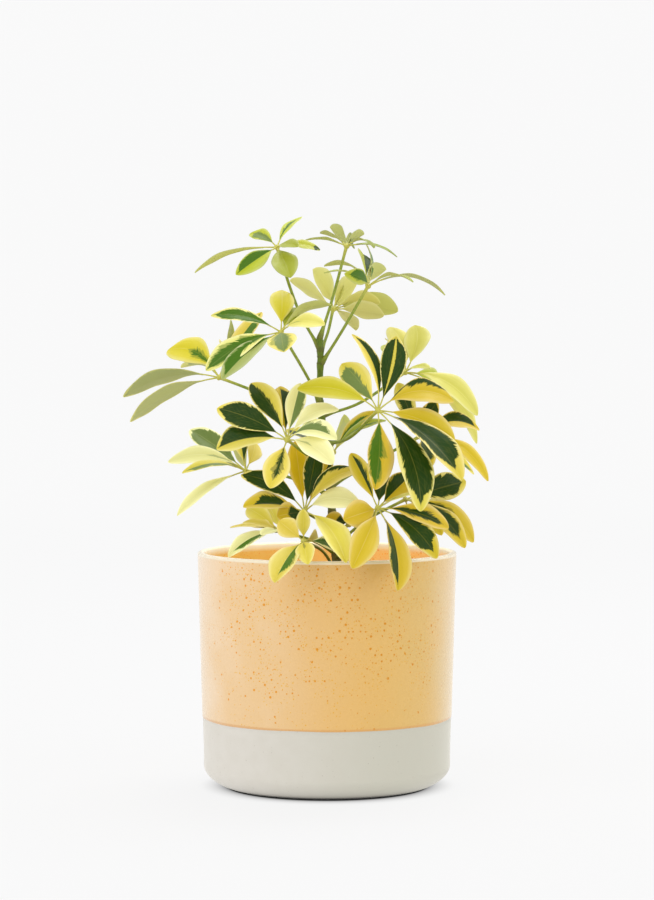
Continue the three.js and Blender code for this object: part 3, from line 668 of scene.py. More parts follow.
def green_shares(graph, given, at):
    """How green a place is, and how deep that green. The green runs out from the midrib to a limit on each
    half, ragged along the side veins, so that it breaks into teeth between them. It can leave a stripe
    along the midrib yellow, and a second band of it can reach in from one margin. Inside it a paler tone
    follows the same teeth at a smaller limit."""
    out, on_right = at["out"], at["on_right"]
    vein_place = graph.plus(at["vein"], at["seed"])
    broad = signed_noise(graph, vein_place, 5.0, 1.0, 0.5, "1D")
    teeth = signed_noise(graph, vein_place, 26.0, 3.0, 0.75, "1D")
    fleck = signed_noise(graph, at["spot"], 30.0, 3.0, 0.7)
    rag = graph.plus(graph.times(broad, 0.7), graph.times(teeth, 0.55))
    rag = graph.plus(rag, graph.times(fleck, 0.16))

    cover = graph.add("ShaderNodeMix", {0: on_right, 2: given["Left"], 3: given["Right"]}).outputs[0]
    toward_tip = graph.ramp(graph.minus(given["End"], at["along"]), 0.0, 0.22)
    from_base = graph.ramp(graph.minus(at["along"], given["Start"]), 0.0, 0.06)
    limit = graph.times(graph.times(cover, toward_tip), from_base)
    open_edge = graph.ramp(limit, 0.0, 0.25)
    limit = graph.plus(limit, graph.times(rag, open_edge))
    margin = graph.plus(0.93, graph.times(teeth, 0.18))
    limit = graph.maths("MINIMUM", limit, margin)
    share = graph.ramp(graph.minus(limit, out), *MARK_SOFTNESS)

    rib_limit = graph.plus(given["Rib"], graph.times(teeth, 0.16))
    outside_rib = graph.ramp(graph.minus(out, rib_limit), *MARK_SOFTNESS)
    no_rib = graph.maths("LESS_THAN", given["Rib"], 0.01)
    share = graph.times(share, graph.maths("MAXIMUM", outside_rib, no_rib))

    side_sign = graph.minus(graph.times(on_right, 2.0), 1.0)
    edge = graph.times(graph.times(given["Edge"], side_sign), toward_tip)
    edge_reach = graph.plus(edge, graph.times(rag, graph.ramp(edge, 0.05, 0.25)))
    from_margin = graph.minus(edge_reach, graph.minus(0.97, out))
    band = graph.times(graph.ramp(from_margin, *MARK_SOFTNESS),
                       graph.maths("LESS_THAN", out, margin))
    share = graph.maths("MAXIMUM", share, band)

    inner = graph.times(given["Tone"], graph.ramp(broad, -0.25, 0.3))
    inner = graph.minus(limit, inner)
    deep_share = graph.ramp(graph.minus(inner, out), -0.03, 0.03)
    return share, graph.maths("MAXIMUM", deep_share, graph.ramp(from_margin, 0.02, 0.08))


def leaf_greens(graph, given, deep_share, mottle, midrib, vein_line):
    """The green part's colour: deep or paler, mottled, and paler on the midrib and the side veins."""
    pale = graph.blend(0.45, given["Green"], given["Yellow"])
    green = graph.blend(deep_share, pale, given["Green"])
    lighter = graph.blend(0.5, green, pale)
    green = graph.blend(graph.ramp(mottle, 0.4, 0.8, 0.0, 0.2), green, lighter)
    green = graph.blend(graph.times(midrib, 0.3), green, pale)
    return graph.blend(graph.times(vein_line, 0.08), green, pale)


def leaf_yellows(graph, given, out, mottle, midrib):
    """The yellow part's colour: stronger and darker near the midrib and in mottles, brighter at the margins
    and on the midrib. The darker band by the midrib and the bright margins are partly the leaf's own colour
    and partly painted shade and light, as on halves folded up from the midrib."""
    plain = given["Yellow"]
    bright, strong = [
        graph.add("ShaderNodeHueSaturation", {"Saturation": much, "Value": light, "Color": plain}).outputs[0]
        for much, light in ((0.78, 1.12), (1.12, 0.84))]
    # Partly painted shade: darker and stronger towards the midrib, in the fold's valley.
    yellow = graph.blend(graph.ramp(out, 0.0, 0.7, 0.75, 0.0), plain, strong)
    yellow = graph.blend(graph.ramp(mottle, 0.4, 0.7, 0.25, 0.0), yellow, strong)
    # Partly painted light: brighter towards the margins.
    yellow = graph.blend(graph.ramp(out, 0.6, 1.0, 0.0, 0.9), yellow, bright)
    return graph.blend(graph.times(midrib, 0.35), yellow, bright)


def leaf_group():
    """The markings of a leaflet by its place along and across the blade: its colour, its relief, in which
    the midrib and the side veins are sunk, and how green it is."""
    tree, graph, given, result = new_group(
        "leaf_markings",
        [("Along", "Float"), ("Across", "Float"), ("Left", "Float"), ("Right", "Float"), ("Rib", "Float"),
         ("Start", "Float"), ("End", "Float"), ("Tone", "Float"), ("Edge", "Float"), ("Seed", "Float"),
         ("Yellow", "Color"), ("Green", "Color")],
        [("Color", "Color"), ("Relief", "Float"), ("Greenness", "Float")])
    at = blade_places(graph, given)
    out = at["out"]
    mottle = graph.noise(at["spot"], 9.0, 4.0, 0.6)
    midrib = graph.ramp(out, 0.0, 0.05, 1.0, 0.0)
    vein_wave = graph.maths("PINGPONG", graph.times(at["vein"], SIDE_VEINS), 0.5)
    vein_line = graph.times(graph.ramp(vein_wave, 0.0, 0.09, 1.0, 0.0),
                            graph.ramp(out, 0.05, 0.95, 1.0, 0.2))
    share, deep_share = green_shares(graph, given, at)
    green = leaf_greens(graph, given, deep_share, mottle, midrib, vein_line)
    yellow = leaf_yellows(graph, given, out, mottle, midrib)
    graph.put(result["Color"], graph.blend(share, yellow, green))
    sunk = graph.plus(graph.times(vein_line, -0.5), graph.times(midrib, -0.6))
    graph.put(result["Relief"], graph.plus(sunk, graph.times(mottle, 0.5)))
    graph.put(result["Greenness"], share)
    return tree


def blade_material(markings):
    """Waxy leaf blades: the markings on top, and a duller, greyer and paler underside, pale partly as
    painted light for the light that shines through the thin blade.
    """
    material, graph, shader = new_material("leaf_blade")
    place = graph.split(graph.add("ShaderNodeUVMap", uv_map="leaflet").outputs[0])
    across = graph.minus(graph.times(place[1], 2.0), 1.0)
    cover = graph.split(graph.attribute("cover")["Vector"])
    span = graph.split(graph.attribute("span")["Vector"])
    kind = graph.split(graph.attribute("kind")["Vector"])
    marks = graph.group(
        markings, Along=place[0], Across=across, Left=cover[0], Right=cover[1], Rib=cover[2],
        Start=span[0], End=span[1], Tone=span[2], Edge=kind[2], Seed=kind[0],
        Yellow=graph.attribute("yellow")["Color"], Green=graph.attribute("green")["Color"])
    under = kind[1]
    # The pale underside is partly its own colour and partly painted light shining through the blade.
    dull = graph.blend(0.5, marks["Color"], linear((0.90, 0.89, 0.60)))
    dull = graph.blend(graph.times(marks["Greenness"], 0.35), dull, linear((0.80, 0.81, 0.56)))
    graph.put(shader.inputs["Base Color"], graph.blend(under, marks["Color"], dull))
    gloss = graph.ramp(graph.noise(millimetres(graph), 0.3, 3.0), 0.3, 0.7, 0.34, 0.46)
    rough = graph.add("ShaderNodeMix", {0: under, 2: gloss, 3: 0.62}).outputs[0]
    graph.put(shader.inputs["Roughness"], rough)
    shader.inputs["Specular IOR Level"].default_value = 0.2
    bump = graph.add("ShaderNodeBump", {"Height": marks["Relief"], "Strength": 0.3, "Distance": 0.12 * MM})
    graph.put(shader.inputs["Normal"], bump.outputs[0])
    return material


def stalk_material():
    """Leaf stalks: fresh green, yellower towards the hub and brown where they clasp the stem."""
    material, graph, shader = new_material("leaf_stalk")
    along = graph.attribute("along")["Fac"]
    place = millimetres(graph)
    streak = graph.noise(place, 0.6, 3.0, 0.6)
    streaky = graph.ramp(streak, 0.3, 0.7)
    green = graph.blend(streaky, linear((0.48, 0.55, 0.14)), linear((0.60, 0.65, 0.24)))
    green = graph.blend(graph.ramp(along, 0.75, 1.05), green, linear((0.78, 0.76, 0.34)))
    base = graph.blend(streak, linear((0.46, 0.50, 0.16)), linear((0.42, 0.41, 0.15)))
    graph.put(shader.inputs["Base Color"], graph.blend(graph.ramp(along, 0.02, 0.12, 1.0, 0.0), green, base))
    graph.put(shader.inputs["Roughness"], graph.ramp(streak, 0.3, 0.7, 0.4, 0.52))
    bump = graph.add("ShaderNodeBump", {"Height": streak, "Strength": 0.3, "Distance": 0.1 * MM})
    graph.put(shader.inputs["Normal"], bump.outputs[0])
    return material


def stem_material():
    """The main stem: green at the top, grown over with brown cork lower down, ringed at its leaf scars."""
    material, graph, shader = new_material("green_stem")
    place = millimetres(graph)
    height = graph.split(place)[2]
    ring = graph.attribute("ring")["Fac"]
    squash = graph.add("ShaderNodeMapping", {"Vector": place, "Scale": (1.0, 1.0, 0.25)}).outputs[0]
    cork = graph.noise(squash, 1.2, 5.0, 0.65)
    lower = graph.ramp(height, 235.0, 140.0)
    corky = graph.ramp(graph.plus(cork, graph.times(lower, 0.45)), 0.62, 0.85)
    fresh = graph.ramp(cork, 0.3, 0.7)
    green = graph.blend(fresh, linear((0.33, 0.42, 0.02)), linear((0.44, 0.52, 0.06)))
    brown = graph.blend(cork, linear((0.30, 0.31, 0.11)), linear((0.52, 0.49, 0.26)))
    bark = graph.blend(corky, green, brown)
    graph.put(shader.inputs["Base Color"],
              graph.blend(graph.times(ring, 0.75), bark, linear((0.36, 0.34, 0.13))))
    graph.put(shader.inputs["Roughness"], graph.ramp(corky, 0.0, 1.0, 0.48, 0.75))
    bump = graph.add("ShaderNodeBump", {"Height": cork, "Strength": 0.5, "Distance": 0.3 * MM})
    graph.put(shader.inputs["Normal"], bump.outputs[0])
    return material


def soil_material():
    """Dark peaty potting soil, damp in patches."""
    material, graph, shader = new_material("potting_soil")
    place = millimetres(graph)
    fine = graph.noise(place, 0.9, 6.0, 0.7)
    patch = graph.noise(place, 0.05, 3.0)
    dry = graph.blend(fine, linear((0.22, 0.16, 0.11)), linear((0.46, 0.36, 0.26)))
    wet = graph.blend(fine, linear((0.14, 0.10, 0.07)), linear((0.30, 0.22, 0.15)))
    graph.put(shader.inputs["Base Color"], graph.blend(graph.ramp(patch, 0.4, 0.6), wet, dry))
    graph.put(shader.inputs["Roughness"], graph.ramp(fine, 0.2, 0.8, 0.8, 0.97))
    bump = graph.add("ShaderNodeBump", {"Height": fine, "Strength": 0.9, "Distance": 1.2 * MM})
    graph.put(shader.inputs["Normal"], bump.outputs[0])
    return material


def grit_material():
    """White, chalky perlite grains."""
    material, graph, shader = new_material("perlite_grit")
    fine = graph.noise(millimetres(graph), 2.0, 4.0, 0.7)
    tone = graph.blend(fine, linear((0.74, 0.71, 0.66)), linear((0.95, 0.94, 0.91)))
    graph.put(shader.inputs["Base Color"], tone)
    graph.put(shader.inputs["Roughness"], graph.ramp(fine, 0.2, 0.8, 0.75, 0.95))
    return material


class Surface:
    """Collects closed surfaces for one piece: their points, faces, material numbers and point values."""

    def __init__(self):
        self.points, self.faces, self.uvs, self.values = [], [], [], {}
        self.count = 0

    def add(self, points, faces, material=0, uv=None, **values):
        """Adds points (n, 3) and a list of arrays of faces. Each value is one number, vector or colour for
        all the points, or one for each."""
        points = np.asarray(points, float).reshape(-1, 3)
        for face in faces:
            self.faces.append((np.asarray(face, int) + self.count, material))
        self.points.append(points)
        self.uvs.append(np.zeros((len(points), 2)) if uv is None else np.asarray(uv).reshape(-1, 2))
        for name, value in values.items():
            value = np.asarray(value, float)
            if value.ndim == 0 or (value.ndim == 1 and len(value) != len(points)):
                value = np.broadcast_to(value, (len(points),) + value.shape)
            self.values.setdefault(name, []).append((self.count, value))
        self.count += len(points)

    def build(self, name, materials, kinds):
        """One smooth-shaded mesh object at the origin, with its point values as attributes."""
        mesh = bpy.data.meshes.new(name)
        loops = np.concatenate([block.ravel() for block, _ in self.faces])
        totals = np.concatenate([np.full(len(block), block.shape[1]) for block, _ in self.faces])
        numbers = np.concatenate([np.full(len(block), number) for block, number in self.faces])
        mesh.vertices.add(self.count)
        mesh.vertices.foreach_set("co", np.concatenate(self.points).ravel())
        mesh.loops.add(len(loops))
        mesh.loops.foreach_set("vertex_index", loops)
        mesh.polygons.add(len(totals))
        mesh.polygons.foreach_set("loop_start", np.concatenate([[0], np.cumsum(totals)[:-1]]))
        mesh.polygons.foreach_set("loop_total", totals)
        mesh.polygons.foreach_set("material_index", numbers)
        mesh.polygons.foreach_set("use_smooth", np.ones(len(totals), bool))
        for material in materials:
            mesh.materials.append(material)
        layer = mesh.uv_layers.new(name="leaflet")
        layer.data.foreach_set("uv", np.concatenate(self.uvs)[loops].ravel())
        for attribute, kind in kinds.items():
            width = {"FLOAT": 1, "FLOAT_VECTOR": 3, "FLOAT_COLOR": 4}[kind]
            whole = np.zeros((self.count, width))
            for start, value in self.values.get(attribute, []):
                whole[start:start + len(value)] = value.reshape(len(value), -1)
            field = {"FLOAT": "value", "FLOAT_VECTOR": "vector", "FLOAT_COLOR": "color"}[kind]
            mesh.attributes.new(attribute, kind, "POINT").data.foreach_set(field, whole.ravel())
        mesh.update(calc_edges=True)
        mesh.validate()
        piece = bpy.data.objects.new(name, mesh)
        bpy.context.scene.collection.objects.link(piece)
        return piece


def ring_faces(rings, around):
    """Quads between closed rings of points, with one point to close each end: the first and the last
    point."""
    i, k = np.meshgrid(np.arange(rings - 1), np.arange(around), indexing="ij")
    nxt = (k + 1) % around
    quads = 1 + np.stack([i * around + k, i * around + nxt, (i + 1) * around + nxt, (i + 1) * around + k], -1)
    k = np.arange(around)
    last = 1 + (rings - 1) * around
    end = last + around
    first_fan = np.stack([np.zeros(around, int), 1 + (k + 1) % around, 1 + k], -1)
    last_fan = np.stack([np.full(around, end), last + k, last + (k + 1) % around], -1)
    return [quads.reshape(-1, 4), first_fan, last_fan]


def unit(vectors):
    return vectors / np.linalg.norm(vectors, axis=-1, keepdims=True)


def smooth_path(points, count):
    """Evenly spaced points on the centripetal Catmull-Rom curve through the given points: between two of
    them, the cubic whose end slopes come from the neighbours, weighted by the square root of the
    distances."""
    points = np.asarray(points, float)
    padded = np.vstack([2 * points[0] - points[1], points, 2 * points[-1] - points[-2]])
    steps = np.sqrt(np.linalg.norm(np.diff(padded, axis=0), axis=1))
    pieces = []
    t = np.linspace(0, 1, 40)[:, None]
    for i in range(len(points) - 1):
        a, b, c, d = padded[i:i + 4]
        s0, s1, s2 = steps[i:i + 3]
        slope_b = s1 * ((b - a) / s0 - (c - a) / (s0 + s1) + (c - b) / s1)
        slope_c = s1 * ((c - b) / s1 - (d - b) / (s1 + s2) + (d - c) / s2)
        curve = ((2 * t ** 3 - 3 * t ** 2 + 1) * b + (t ** 3 - 2 * t ** 2 + t) * slope_b
                 + (3 * t ** 2 - 2 * t ** 3) * c + (t ** 3 - t ** 2) * slope_c)
        pieces.append(curve[:-1])
    dense = np.vstack(pieces + [points[-1:]])
    length = np.concatenate([[0], np.cumsum(np.linalg.norm(np.diff(dense, axis=0), axis=1))])
    wanted = np.linspace(0, length[-1], count)
    return np.stack([np.interp(wanted, length, dense[:, k]) for k in range(3)], -1)


def tube(path, radii, sides, squash=1.0):
    """Points of a closed round tube: rings of the given radii square to the path, and a point at each end.
    Each ring's axes come from the path's direction and one fixed direction that it never takes."""
    along = unit(np.gradient(path, axis=0))
    fixed = np.array([0.31, -0.9, 0.31]) if abs(along[:, 1]).max() < 0.8 else np.array([0.9, 0.1, 0.42])
    first = unit(np.cross(along, fixed))
    second = np.cross(along, first)
    angle = np.linspace(0, 2 * np.pi, sides, endpoint=False)
    radii = np.broadcast_to(np.asarray(radii, float), (len(path),)) if np.ndim(radii) < 2 else radii
    reach = radii[:, None] if radii.ndim == 1 else radii
    ring = (path[:, None, :] + first[:, None, :] * (reach * np.cos(angle))[..., None]
            + second[:, None, :] * (reach * np.sin(angle) * squash)[..., None])
    return np.vstack([path[:1], ring.reshape(-1, 3), path[-1:]])


def seen(place):
    """The true place in metres of a point that shows across and up at the given millimetres in the upright
    plane through the pot's axis, at the given depth: pushed out from the eye by that depth."""
    across, depth, up = np.asarray(place, float) * MM
    scale = (EYE_DISTANCE + depth) / EYE_DISTANCE
    return np.array([across * scale, depth, EYE_HEIGHT + (up - EYE_HEIGHT) * scale])


def outline(share):
    """A blade's half-width, 1 at its widest: the sine of half a turn of a power of the share, itself to a
    power that falls from the base, where it makes a wedge, to the tip, where it makes a blunt end."""
    power = math.log(0.5) / math.log(BLADE_WIDEST)
    return np.sin(np.pi * share ** power) ** (BLADE_WEDGE - BLADE_BLUNTING * share)


def leaflet_axes(hub, tip, turn):
    """A leaflet's length, the way it points, and its up and side axes. Unturned, up is the way to the
    viewer made square to the leaflet, and the turn leans it to the clockwise side."""
    chord = tip - hub
    length = np.linalg.norm(chord)
    along = chord / length
    towards = np.array([0.0, -1.0, 0.0])
    towards = unit(towards - np.dot(towards, along) * along)
    clockwise = np.cross(along, towards)
    angle = math.radians(turn)
    up = towards * math.cos(angle) + clockwise * math.sin(angle)
    side = clockwise * math.cos(angle) - towards * math.sin(angle)
    return length, along, up, side


def blade_rings(centre, normal, side, width, fold, random):
    """Closed rings of points round a blade, one for each point of its midrib: over the top from the left
    margin to the right, and back below. The halves rise at the fold's angle, turn down again towards the
    margins by a square law, and ripple a little along them. The blade thins to nothing at its margins by a
    power of four. The midrib is a groove in the top and a ridge below, each a bell curve across."""
    u, v = BLADE_ALONG, BLADE_ACROSS
    half = 0.5 * width * MM * outline(u)
    rise = math.atan(0.01 * fold) + random.uniform(-0.04, 0.04)
    valley = np.sqrt(v ** 2 + 0.01) - 0.1
    camber = BLADE_CAMBER * v ** 2 * random.uniform(0.6, 1.4)
    phase = random.uniform(0, 2 * np.pi, 2)
    ripple = (np.sin(2 * np.pi * RIPPLES[0] * u + phase[0])[:, None] * np.clip(v, 0, 1) ** 2
              + np.sin(2 * np.pi * RIPPLES[1] * u + phase[1])[:, None] * np.clip(-v, 0, 1) ** 2)
    level = half[:, None] * (math.sin(rise) * valley - camber + RIPPLE_HEIGHT * ripple)
    body = 0.5 * BLADE_THICKNESS * MM * (1 - v ** 4)
    ridge = RIB_RIDGE * MM * np.exp(-(v / 0.1) ** 2) * (1 - u[:, None]) ** 0.6
    groove = RIB_GROOVE * MM * np.exp(-(v / 0.07) ** 2) * (1 - u[:, None])
    base = centre[:, None, :] + side * (half[:, None] * v * math.cos(rise))[..., None]
    top = base + normal[:, None, :] * (level + body - groove)[..., None]
    below = base + normal[:, None, :] * (level - body - ridge)[..., None]
    return np.concatenate([top, below[:, -2:0:-1]], axis=1)


def blade_values(marks, under, random):
    """A blade's point values for its markings: the named pattern and colours, each a little off at random,
    and for each point whether it is on the underside."""
    pattern, tint, green = marks.split()
    left, right, rib, start, end, tone, edge = PATTERNS[pattern]
    jitter = random.uniform(-0.06, 0.06, 3)
    seed = np.full(len(under), random.uniform(0, 40))
    warmth = random.uniform(0.96, 1.03) * random.uniform(0.985, 1.015, 3)
    return {
        "cover": (left + jitter[0], right + jitter[1], rib),
        "span": (start, end + jitter[2] * 0.5, tone),
        "kind": np.stack([seed, under, np.full(len(under), edge)], -1),
        "yellow": linear(np.clip(np.array(TINTS[tint]) * warmth, 0, 1)),
        "green": linear(GREENS[green]),
    }


def add_leaflet(surface, hub, row, seed):
    """One leaflet: a blade round its midrib, closed by a point at each end, and its own short stalk. The
    midrib is the straight line from hub to tip, raised and swayed by parabolas."""
    random = np.random.default_rng(seed)
    x, y, z, width, turn, arch, bend, fold, marks = row
    length, along, up, side = leaflet_axes(hub, seen([x, y, z]), turn)

    def midrib(share):
        bow = 0.04 * share * (1 - share)
        rise, sway = (arch * bow)[:, None], (bend * bow)[:, None]
        return hub + length * (share[:, None] * along + rise * up + sway * side)

    stalk = LEAFLET_STALK_SHARE
    share = stalk + (1 - stalk) * BLADE_ALONG
    slope = 0.04 * arch * (1 - 2 * share)
    normal = unit(up - slope[:, None] * along)
    rings = blade_rings(midrib(share), normal, side, width, fold, random)
    ends = midrib(np.array([stalk, 1.0]))
    points = np.vstack([ends[:1], rings.reshape(-1, 3), ends[1:]])
    across = np.concatenate([BLADE_ACROSS, BLADE_ACROSS[-2:0:-1]]) * 0.5 + 0.5
    uv = np.stack(np.broadcast_arrays(BLADE_ALONG[:, None], across[None, :]), -1).reshape(-1, 2)
    uv = np.vstack([[[0, 0.5]], uv, [[1, 0.5]]])
    below = len(BLADE_ACROSS) - 2
    under = np.concatenate([np.zeros(len(BLADE_ACROSS)), np.ones(below)])
    under = np.concatenate([[0], np.tile(under, len(BLADE_ALONG)), [0]])
    faces = [block[:, ::-1] for block in ring_faces(len(BLADE_ALONG), len(across))]
    surface.add(points, faces, 0, uv, **blade_values(marks, under, random))

    steps, sides = LEAFLET_STALK_STEPS, LEAFLET_STALK_SIDES
    path = midrib(np.linspace(0.0, stalk + 0.05, steps)) - 0.15 * MM * normal[0]
    radii = LEAFLET_STALK_RADIUS * MM * np.linspace(1.15, 0.8, steps)
    surface.add(tube(path, radii, sides), ring_faces(steps, sides), 1, along=1.2)


def add_stalk(surface, start, via, hub):
    """A leaf's stalk: a round tube from inside the stem through one place to the hub, swollen where it
    clasps the stem and again at the hub, and a flattened ball for the hub."""
    path = smooth_path([start, via, hub], STALK_STEPS)
    along = np.linspace(0, 1, STALK_STEPS)
    distance = along * np.linalg.norm(np.diff(path, axis=0), axis=1).sum() / MM
    radii = np.full(STALK_STEPS, STALK_RADIUS["middle"])
    for end, away in (("base", distance), ("hub", distance[-1] - distance)):
        radii += (STALK_RADIUS[end] - STALK_RADIUS["middle"]) * np.exp(-(away / STALK_SWELLS[end]) ** 2)
    surface.add(tube(path, radii * MM, STALK_SIDES), ring_faces(STALK_STEPS, STALK_SIDES), 1,
                along=np.concatenate([[0], np.repeat(along, STALK_SIDES), [1]]))
    turn = np.linspace(0.08, np.pi - 0.08, HUB_STEPS)
    axis = unit(path[-1] - path[-6])
    knob_path = hub - axis * (np.cos(turn) * 0.8 * HUB_RADIUS * MM)[:, None]
    knob = tube(knob_path, HUB_RADIUS * MM * np.sin(turn), STALK_SIDES)
    surface.add(knob, ring_faces(HUB_STEPS, STALK_SIDES), 1, along=1.1)


BLADE_VALUES = {
    "cover": "FLOAT_VECTOR", "span": "FLOAT_VECTOR", "kind": "FLOAT_VECTOR",
    "yellow": "FLOAT_COLOR", "green": "FLOAT_COLOR", "along": "FLOAT",
}


def make_leaf(row, number, stem_path, materials):
    """A leaf: its stalk from the stem to its hub, and its leaflets round the hub."""
    name, hub, leaves_at, via, leaflets = row
    hub = seen(hub)
    surface = Surface()
    start = stem_path[np.argmin(np.abs(stem_path[:, 2] - leaves_at * MM))]
    add_stalk(surface, start, seen(via), hub)
    for index, leaflet in enumerate(leaflets):
        add_leaflet(surface, hub, leaflet, 1000 * number + index)
    piece = surface.build("fine_" + name, materials, BLADE_VALUES)
    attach(piece, "root")
    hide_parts(name)
    return piece


def make_stem(path, material):
    """The main stem: a tube that tapers upwards, swells by a bell curve where each leaf leaves it, and
    carries a fine raised ring there and at the scars of fallen leaves."""
    rings, sides = len(path), STEM_SIDES
    share = np.linspace(0, 1, rings)
    height = path[:, 2]
    radii = STEM_RADIUS[0] + (STEM_RADIUS[1] - STEM_RADIUS[0]) * share
    swell = np.zeros(rings)
    ring = np.zeros(rings)
    leaf_heights = [row[2] * MM for row in LEAVES]
    scars = np.random.default_rng(5).uniform(*SCAR_HEIGHTS, SCARS) * MM
    for level in leaf_heights:
        swell = np.maximum(swell, np.exp(-((height - level) / NODE_REACH) ** 2))
    for level in list(leaf_heights) + list(scars):
        ring = np.maximum(ring, np.exp(-((height - level - SCAR_ABOVE) / SCAR_REACH) ** 2))
    radii = radii + NODE_SWELL * swell + SCAR_RISE * ring
    radii = radii * np.sqrt(np.clip((1 - share) * rings / 4, 0.05, 1))
    angle = np.linspace(0, 2 * np.pi, sides, endpoint=False)
    knobby = (1 + 0.035 * np.sin(3 * angle[None, :] + 60 * share[:, None])
              + 0.02 * np.sin(7 * angle[None, :] + 23 * share[:, None]))
    surface = Surface()
    surface.add(tube(path, radii[:, None] * knobby, sides), ring_faces(rings, sides), 0,
                ring=np.concatenate([[0], np.repeat(ring, sides), [0]]))
    piece = surface.build("fine_stem", [material], {"ring": "FLOAT"})
    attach(piece, "root")
    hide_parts("stem")
    return piece


def pot_outer_radius(height):
    return FOOT_TOP_RADIUS + (RIM_RADIUS - FOOT_TOP_RADIUS) * (height - FOOT_TOP) / (POT_HEIGHT - FOOT_TOP)


def pot_profile():
    """The pot's section as radius, height, glaze and lip values: out along the underside, up round the foot
    by powers of sine and cosine, the bare wall, the glaze's rounded edge, the glazed wall, over the
    elliptic lip, down the inside and in over the floor."""
    rows = [(r, 0.0, 0, 0) for r in np.linspace(0.004, BASE_RADIUS - 1 * MM, 8)]
    foot = FOOT_TOP_RADIUS - BASE_RADIUS
    for a in np.linspace(0, 0.5 * np.pi, 22):
        rows.append((BASE_RADIUS + foot * math.sin(a) ** FOOT_POWER, FOOT_TOP * (1 - math.cos(a)), 0, 0))
    for height in np.linspace(FOOT_TOP, GLAZE_EDGE, 12)[1:-1]:
        sunk = GLAZE_DEPTH * min(1, (height - FOOT_TOP) / (10 * MM))
        rows.append((pot_outer_radius(height) - sunk, height, 0, 0))
    bare = pot_outer_radius(GLAZE_EDGE) - GLAZE_DEPTH
    rows.append((bare, GLAZE_EDGE - 0.05 * MM, 0, 0))
    for a in np.linspace(0.15, 0.5 * np.pi, 6):
        rows.append((bare + GLAZE_DEPTH * math.sin(a), GLAZE_EDGE + GLAZE_ROUND * (1 - math.cos(a)), 1, 0))
    half_wall = WALL / 2
    lip_foot = POT_HEIGHT - LIP_DROP
    for height in np.linspace(GLAZE_EDGE + 1.5 * MM, lip_foot, 60)[:-1]:
        rows.append((pot_outer_radius(height), height, 1, 0))
    for drop, near_lip in ((0.8 * MM, 0), (0.2 * MM, 1)):
        rows.append((pot_outer_radius(lip_foot - drop), lip_foot - drop, 1, near_lip))
    for a in np.linspace(0, np.pi, 18):
        radius = RIM_RADIUS - half_wall + half_wall * math.cos(a)
        rows.append((radius, lip_foot + LIP_DROP * math.sin(a), 1, 1))
    for height in np.linspace(lip_foot - 0.5 * MM, POT_FLOOR + FLOOR_CURVE, 40):
        near_lip = np.clip((height - (lip_foot - 1.5 * MM)) / (1 * MM), 0, 1)
        rows.append((pot_outer_radius(height) - WALL, height, 1, near_lip))
    for a in np.linspace(0.1, 0.5 * np.pi, 8):
        rows.append((pot_outer_radius(POT_FLOOR) - WALL - FLOOR_CURVE * (1 - math.cos(a)),
                     POT_FLOOR + FLOOR_CURVE * (1 - math.sin(a)), 1, 0))
    rows += [(r, POT_FLOOR, 1, 0) for r in np.linspace(56 * MM, 0.004, 8)]
    return np.array(rows)


def make_pot(material):
    """The pot: its section turned round the axis. The glaze's edge wavers up and down by a few slow sine
    waves, and the wall swells by hundredths of a millimetre, as a thrown or cast wall does."""
    profile = pot_profile()
    angle = np.linspace(0, 2 * np.pi, POT_SIDES, endpoint=False)
    radius, height = profile[:, :1], profile[:, 1:2]
    waves = np.sin(3 * angle + 0.4) + 0.6 * np.sin(7 * angle + 2.1) + 0.4 * np.sin(13 * angle)
    waver = GLAZE_WAVER * waves / 2
    near_edge = np.exp(-((height - GLAZE_EDGE) / (4 * MM)) ** 2) * (radius > RIM_RADIUS * 0.9)
    z = height + near_edge * waver
    swell = 1 + 0.0006 * np.sin(2 * angle + 30 * height) * (height > 1 * MM)
    r = radius * swell
    wall = np.stack([r * np.cos(angle), r * np.sin(angle), np.broadcast_to(z, r.shape)], -1)
    points = np.vstack([[0, 0, 0], wall.reshape(-1, 3), [0, 0, POT_FLOOR]])
    surface = Surface()
    glazed, lip = [
        np.concatenate([column[:1], np.repeat(column, POT_SIDES), column[-1:]]) for column in profile.T[2:]]
    surface.add(points, ring_faces(len(profile), POT_SIDES), 0, glazed=glazed, lip=lip)
    piece = surface.build("fine_pot", [material], {"glazed": "FLOAT", "lip": "FLOAT"})
    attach(piece, "root")
    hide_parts("pot")
    return piece


def crumb(random, size):
    """A lump: a small ball of three rings of six points and two poles, with each point pushed in or out at
    random, then flattened and turned at random."""
    sides, rings = 6, 3
    turn = np.linspace(0, np.pi, rings + 2)[1:-1]
    angle = np.linspace(0, 2 * np.pi, sides, endpoint=False)
    out, up = np.sin(turn)[:, None], -np.cos(turn)[:, None]
    ring = np.stack(np.broadcast_arrays(out * np.cos(angle), out * np.sin(angle), up), -1).reshape(-1, 3)
    ball = np.vstack([[0, 0, -1], ring, [0, 0, 1]])
    ball = ball * random.uniform(0.7, 1.15, (len(ball), 1)) * random.uniform(0.6, 1.0, 3)
    basis, _ = np.linalg.qr(random.normal(size=(3, 3)))
    if np.linalg.det(basis) < 0:
        basis[:, 0] = -basis[:, 0]
    return ball @ basis.T * size, ring_faces(rings, sides)


def soil_height(x, y):
    """The soil's top: a low heap round the middle, falling by a square law, with coarse and fine bumps made
    of products of sine waves."""
    reach = np.hypot(x, y) / (74 * MM)
    heap = SOIL_HEAP * (1 - np.clip(reach, 0, 1) ** 2) * 0.8
    x, y = x / MM, y / MM
    coarse = 1.0 * MM * (np.sin(x / 3.2 + 1.3) * np.cos(y / 3.7) + np.sin((0.7 * x - y) / 5.9))
    fine = 0.45 * MM * np.sin(x / 1.1 + 2 * np.sin(y / 2.3)) * np.cos(y / 0.9 + x / 1.7)
    return SOIL_TOP + heap + coarse + fine


